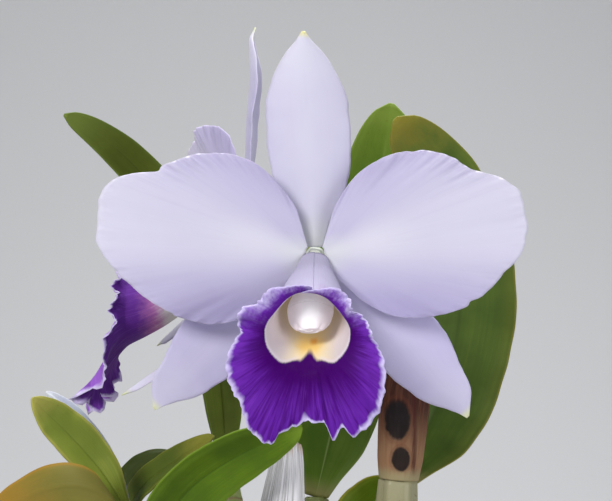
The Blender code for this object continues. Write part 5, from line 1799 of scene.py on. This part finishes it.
# %% Terracotta finish
clay, wire, shader = new_finish("terracotta", Specular_IOR_Level=0.3)
height = own_place(wire, "Z")
cloud = grain(wire, 26, 5)
rings = grain(wire, 1.0, 4, place=triple(wire, 0.3, cloud * 0.6, height * 900))
pores = grain(wire, 1400, 3)
colour = cloud.rise(0.3, 0.7).blend(rgb(186, 108, 74), rgb(160, 86, 56))
colour = (rings.rise(0.5, 0.65) * 0.25).blend(colour, rgb(200, 128, 94))
# Darker towards the bottom of the pot.
darker_toward_base = (height + (cloud - 0.5) * 0.05).rise(0.03, 0.005)
colour = (darker_toward_base * 0.5).blend(colour, rgb(120, 66, 46))
high_lime = (height + (cloud - 0.5) * 0.03).hill(0.085, 0.016)
low_lime = (height + (cloud - 0.5) * 0.02).hill(0.012, 0.014)
lime = grain(wire, 75, 6, rough=0.7).rise(0.42, 0.66) * high_lime.higher(low_lime) * 0.75
colour = lime.blend(colour, rgb(226, 208, 190))
colour = (pores.rise(0.62, 0.7) * 0.35).blend(colour, rgb(110, 58, 40))
paint(wire, shader, colour, cloud.rise(0.3, 0.7, 0.78, 0.92), rings * 0.8 + pores * 0.4, 0.6, 0.4)
place_piece("pot", drained, clay)
print("terracotta laid on the pot")

# %% [markdown]
# ## Floor, backdrop and lights
# A sheet that rises in one smooth curve makes floor and backdrop in one. Three large soft lights stand in
# for a studio: a wide one high at the front left, a weaker one at the front right to open the shadows,
# and one above and behind that draws the edges of the petals.

# %% Floor and lights
FLOOR_NEAR = -900.0
FLOOR_FAR = 900.0
BACKDROP_BEND = 500.0
BACKDROP_TOP = 1500.0
BEND_STEPS = 24
FLOOR_SIDES = (-1400.0, 1400.0)


def backdrop_profile():
    """Depth and height of the paper roll: flat, then a quarter circle, then upright."""
    bend_from = FLOOR_FAR - BACKDROP_BEND
    line = [(FLOOR_NEAR, 0.0), (bend_from, 0.0)]
    for step in range(1, BEND_STEPS + 1):
        turn = math.pi / 2 * step / BEND_STEPS
        line.append((bend_from + BACKDROP_BEND * math.sin(turn), BACKDROP_BEND * (1 - math.cos(turn))))
    return line + [(FLOOR_FAR, BACKDROP_TOP)]


profile = backdrop_profile()
places = np.array([(x, depth, height) for x in FLOOR_SIDES for depth, height in profile])
floor_mesh = new_mesh("floor", places, grid_faces(0, 2, len(profile)))
floor = bpy.data.objects.new("floor", floor_mesh)
bpy.context.scene.collection.objects.link(floor)
paper, wire, shader = new_finish("pale_paper", Specular_IOR_Level=0.2)
fibres = grain(wire, 900, 3)
paint(wire, shader, fibres.blend(rgb(190, 191, 193), rgb(196, 197, 199)), fibres.rise(0, 1, 0.8, 0.92))
floor_mesh.materials.append(paper)


def soft_light(name, place, aim, size, watts, colour=(1, 1, 1)):
    lamp = bpy.data.lights.new(name, "AREA")
    lamp.shape = "DISK"
    lamp.size = size * MM
    lamp.energy = watts
    lamp.color = colour
    holder = bpy.data.objects.new(name, lamp)
    holder.location = Vector(place) * MM
    holder.rotation_euler = (Vector(aim) - Vector(place)).to_track_quat("-Z", "Y").to_euler()
    bpy.context.scene.collection.objects.link(holder)


soft_light("key_light", (-520, -760, 720), (0, -30, 230), 420, 8.3, (1, 0.985, 0.96))
soft_light("fill_light", (640, -700, 330), (0, -20, 220), 520, 3.2, (0.96, 0.97, 1))
soft_light("top_light", (60, 260, 900), (0, 0, 230), 420, 7.0)
world = bpy.data.worlds.new("studio")
bpy.context.scene.world = world
world.use_nodes = True
sky = world.node_tree.nodes["Background"].inputs
sky["Color"].default_value = (0.95, 0.96, 1, 1)
sky["Strength"].default_value = 0.25
print("three soft lights and a floor", FLOOR_FAR - FLOOR_NEAR, "mm deep")
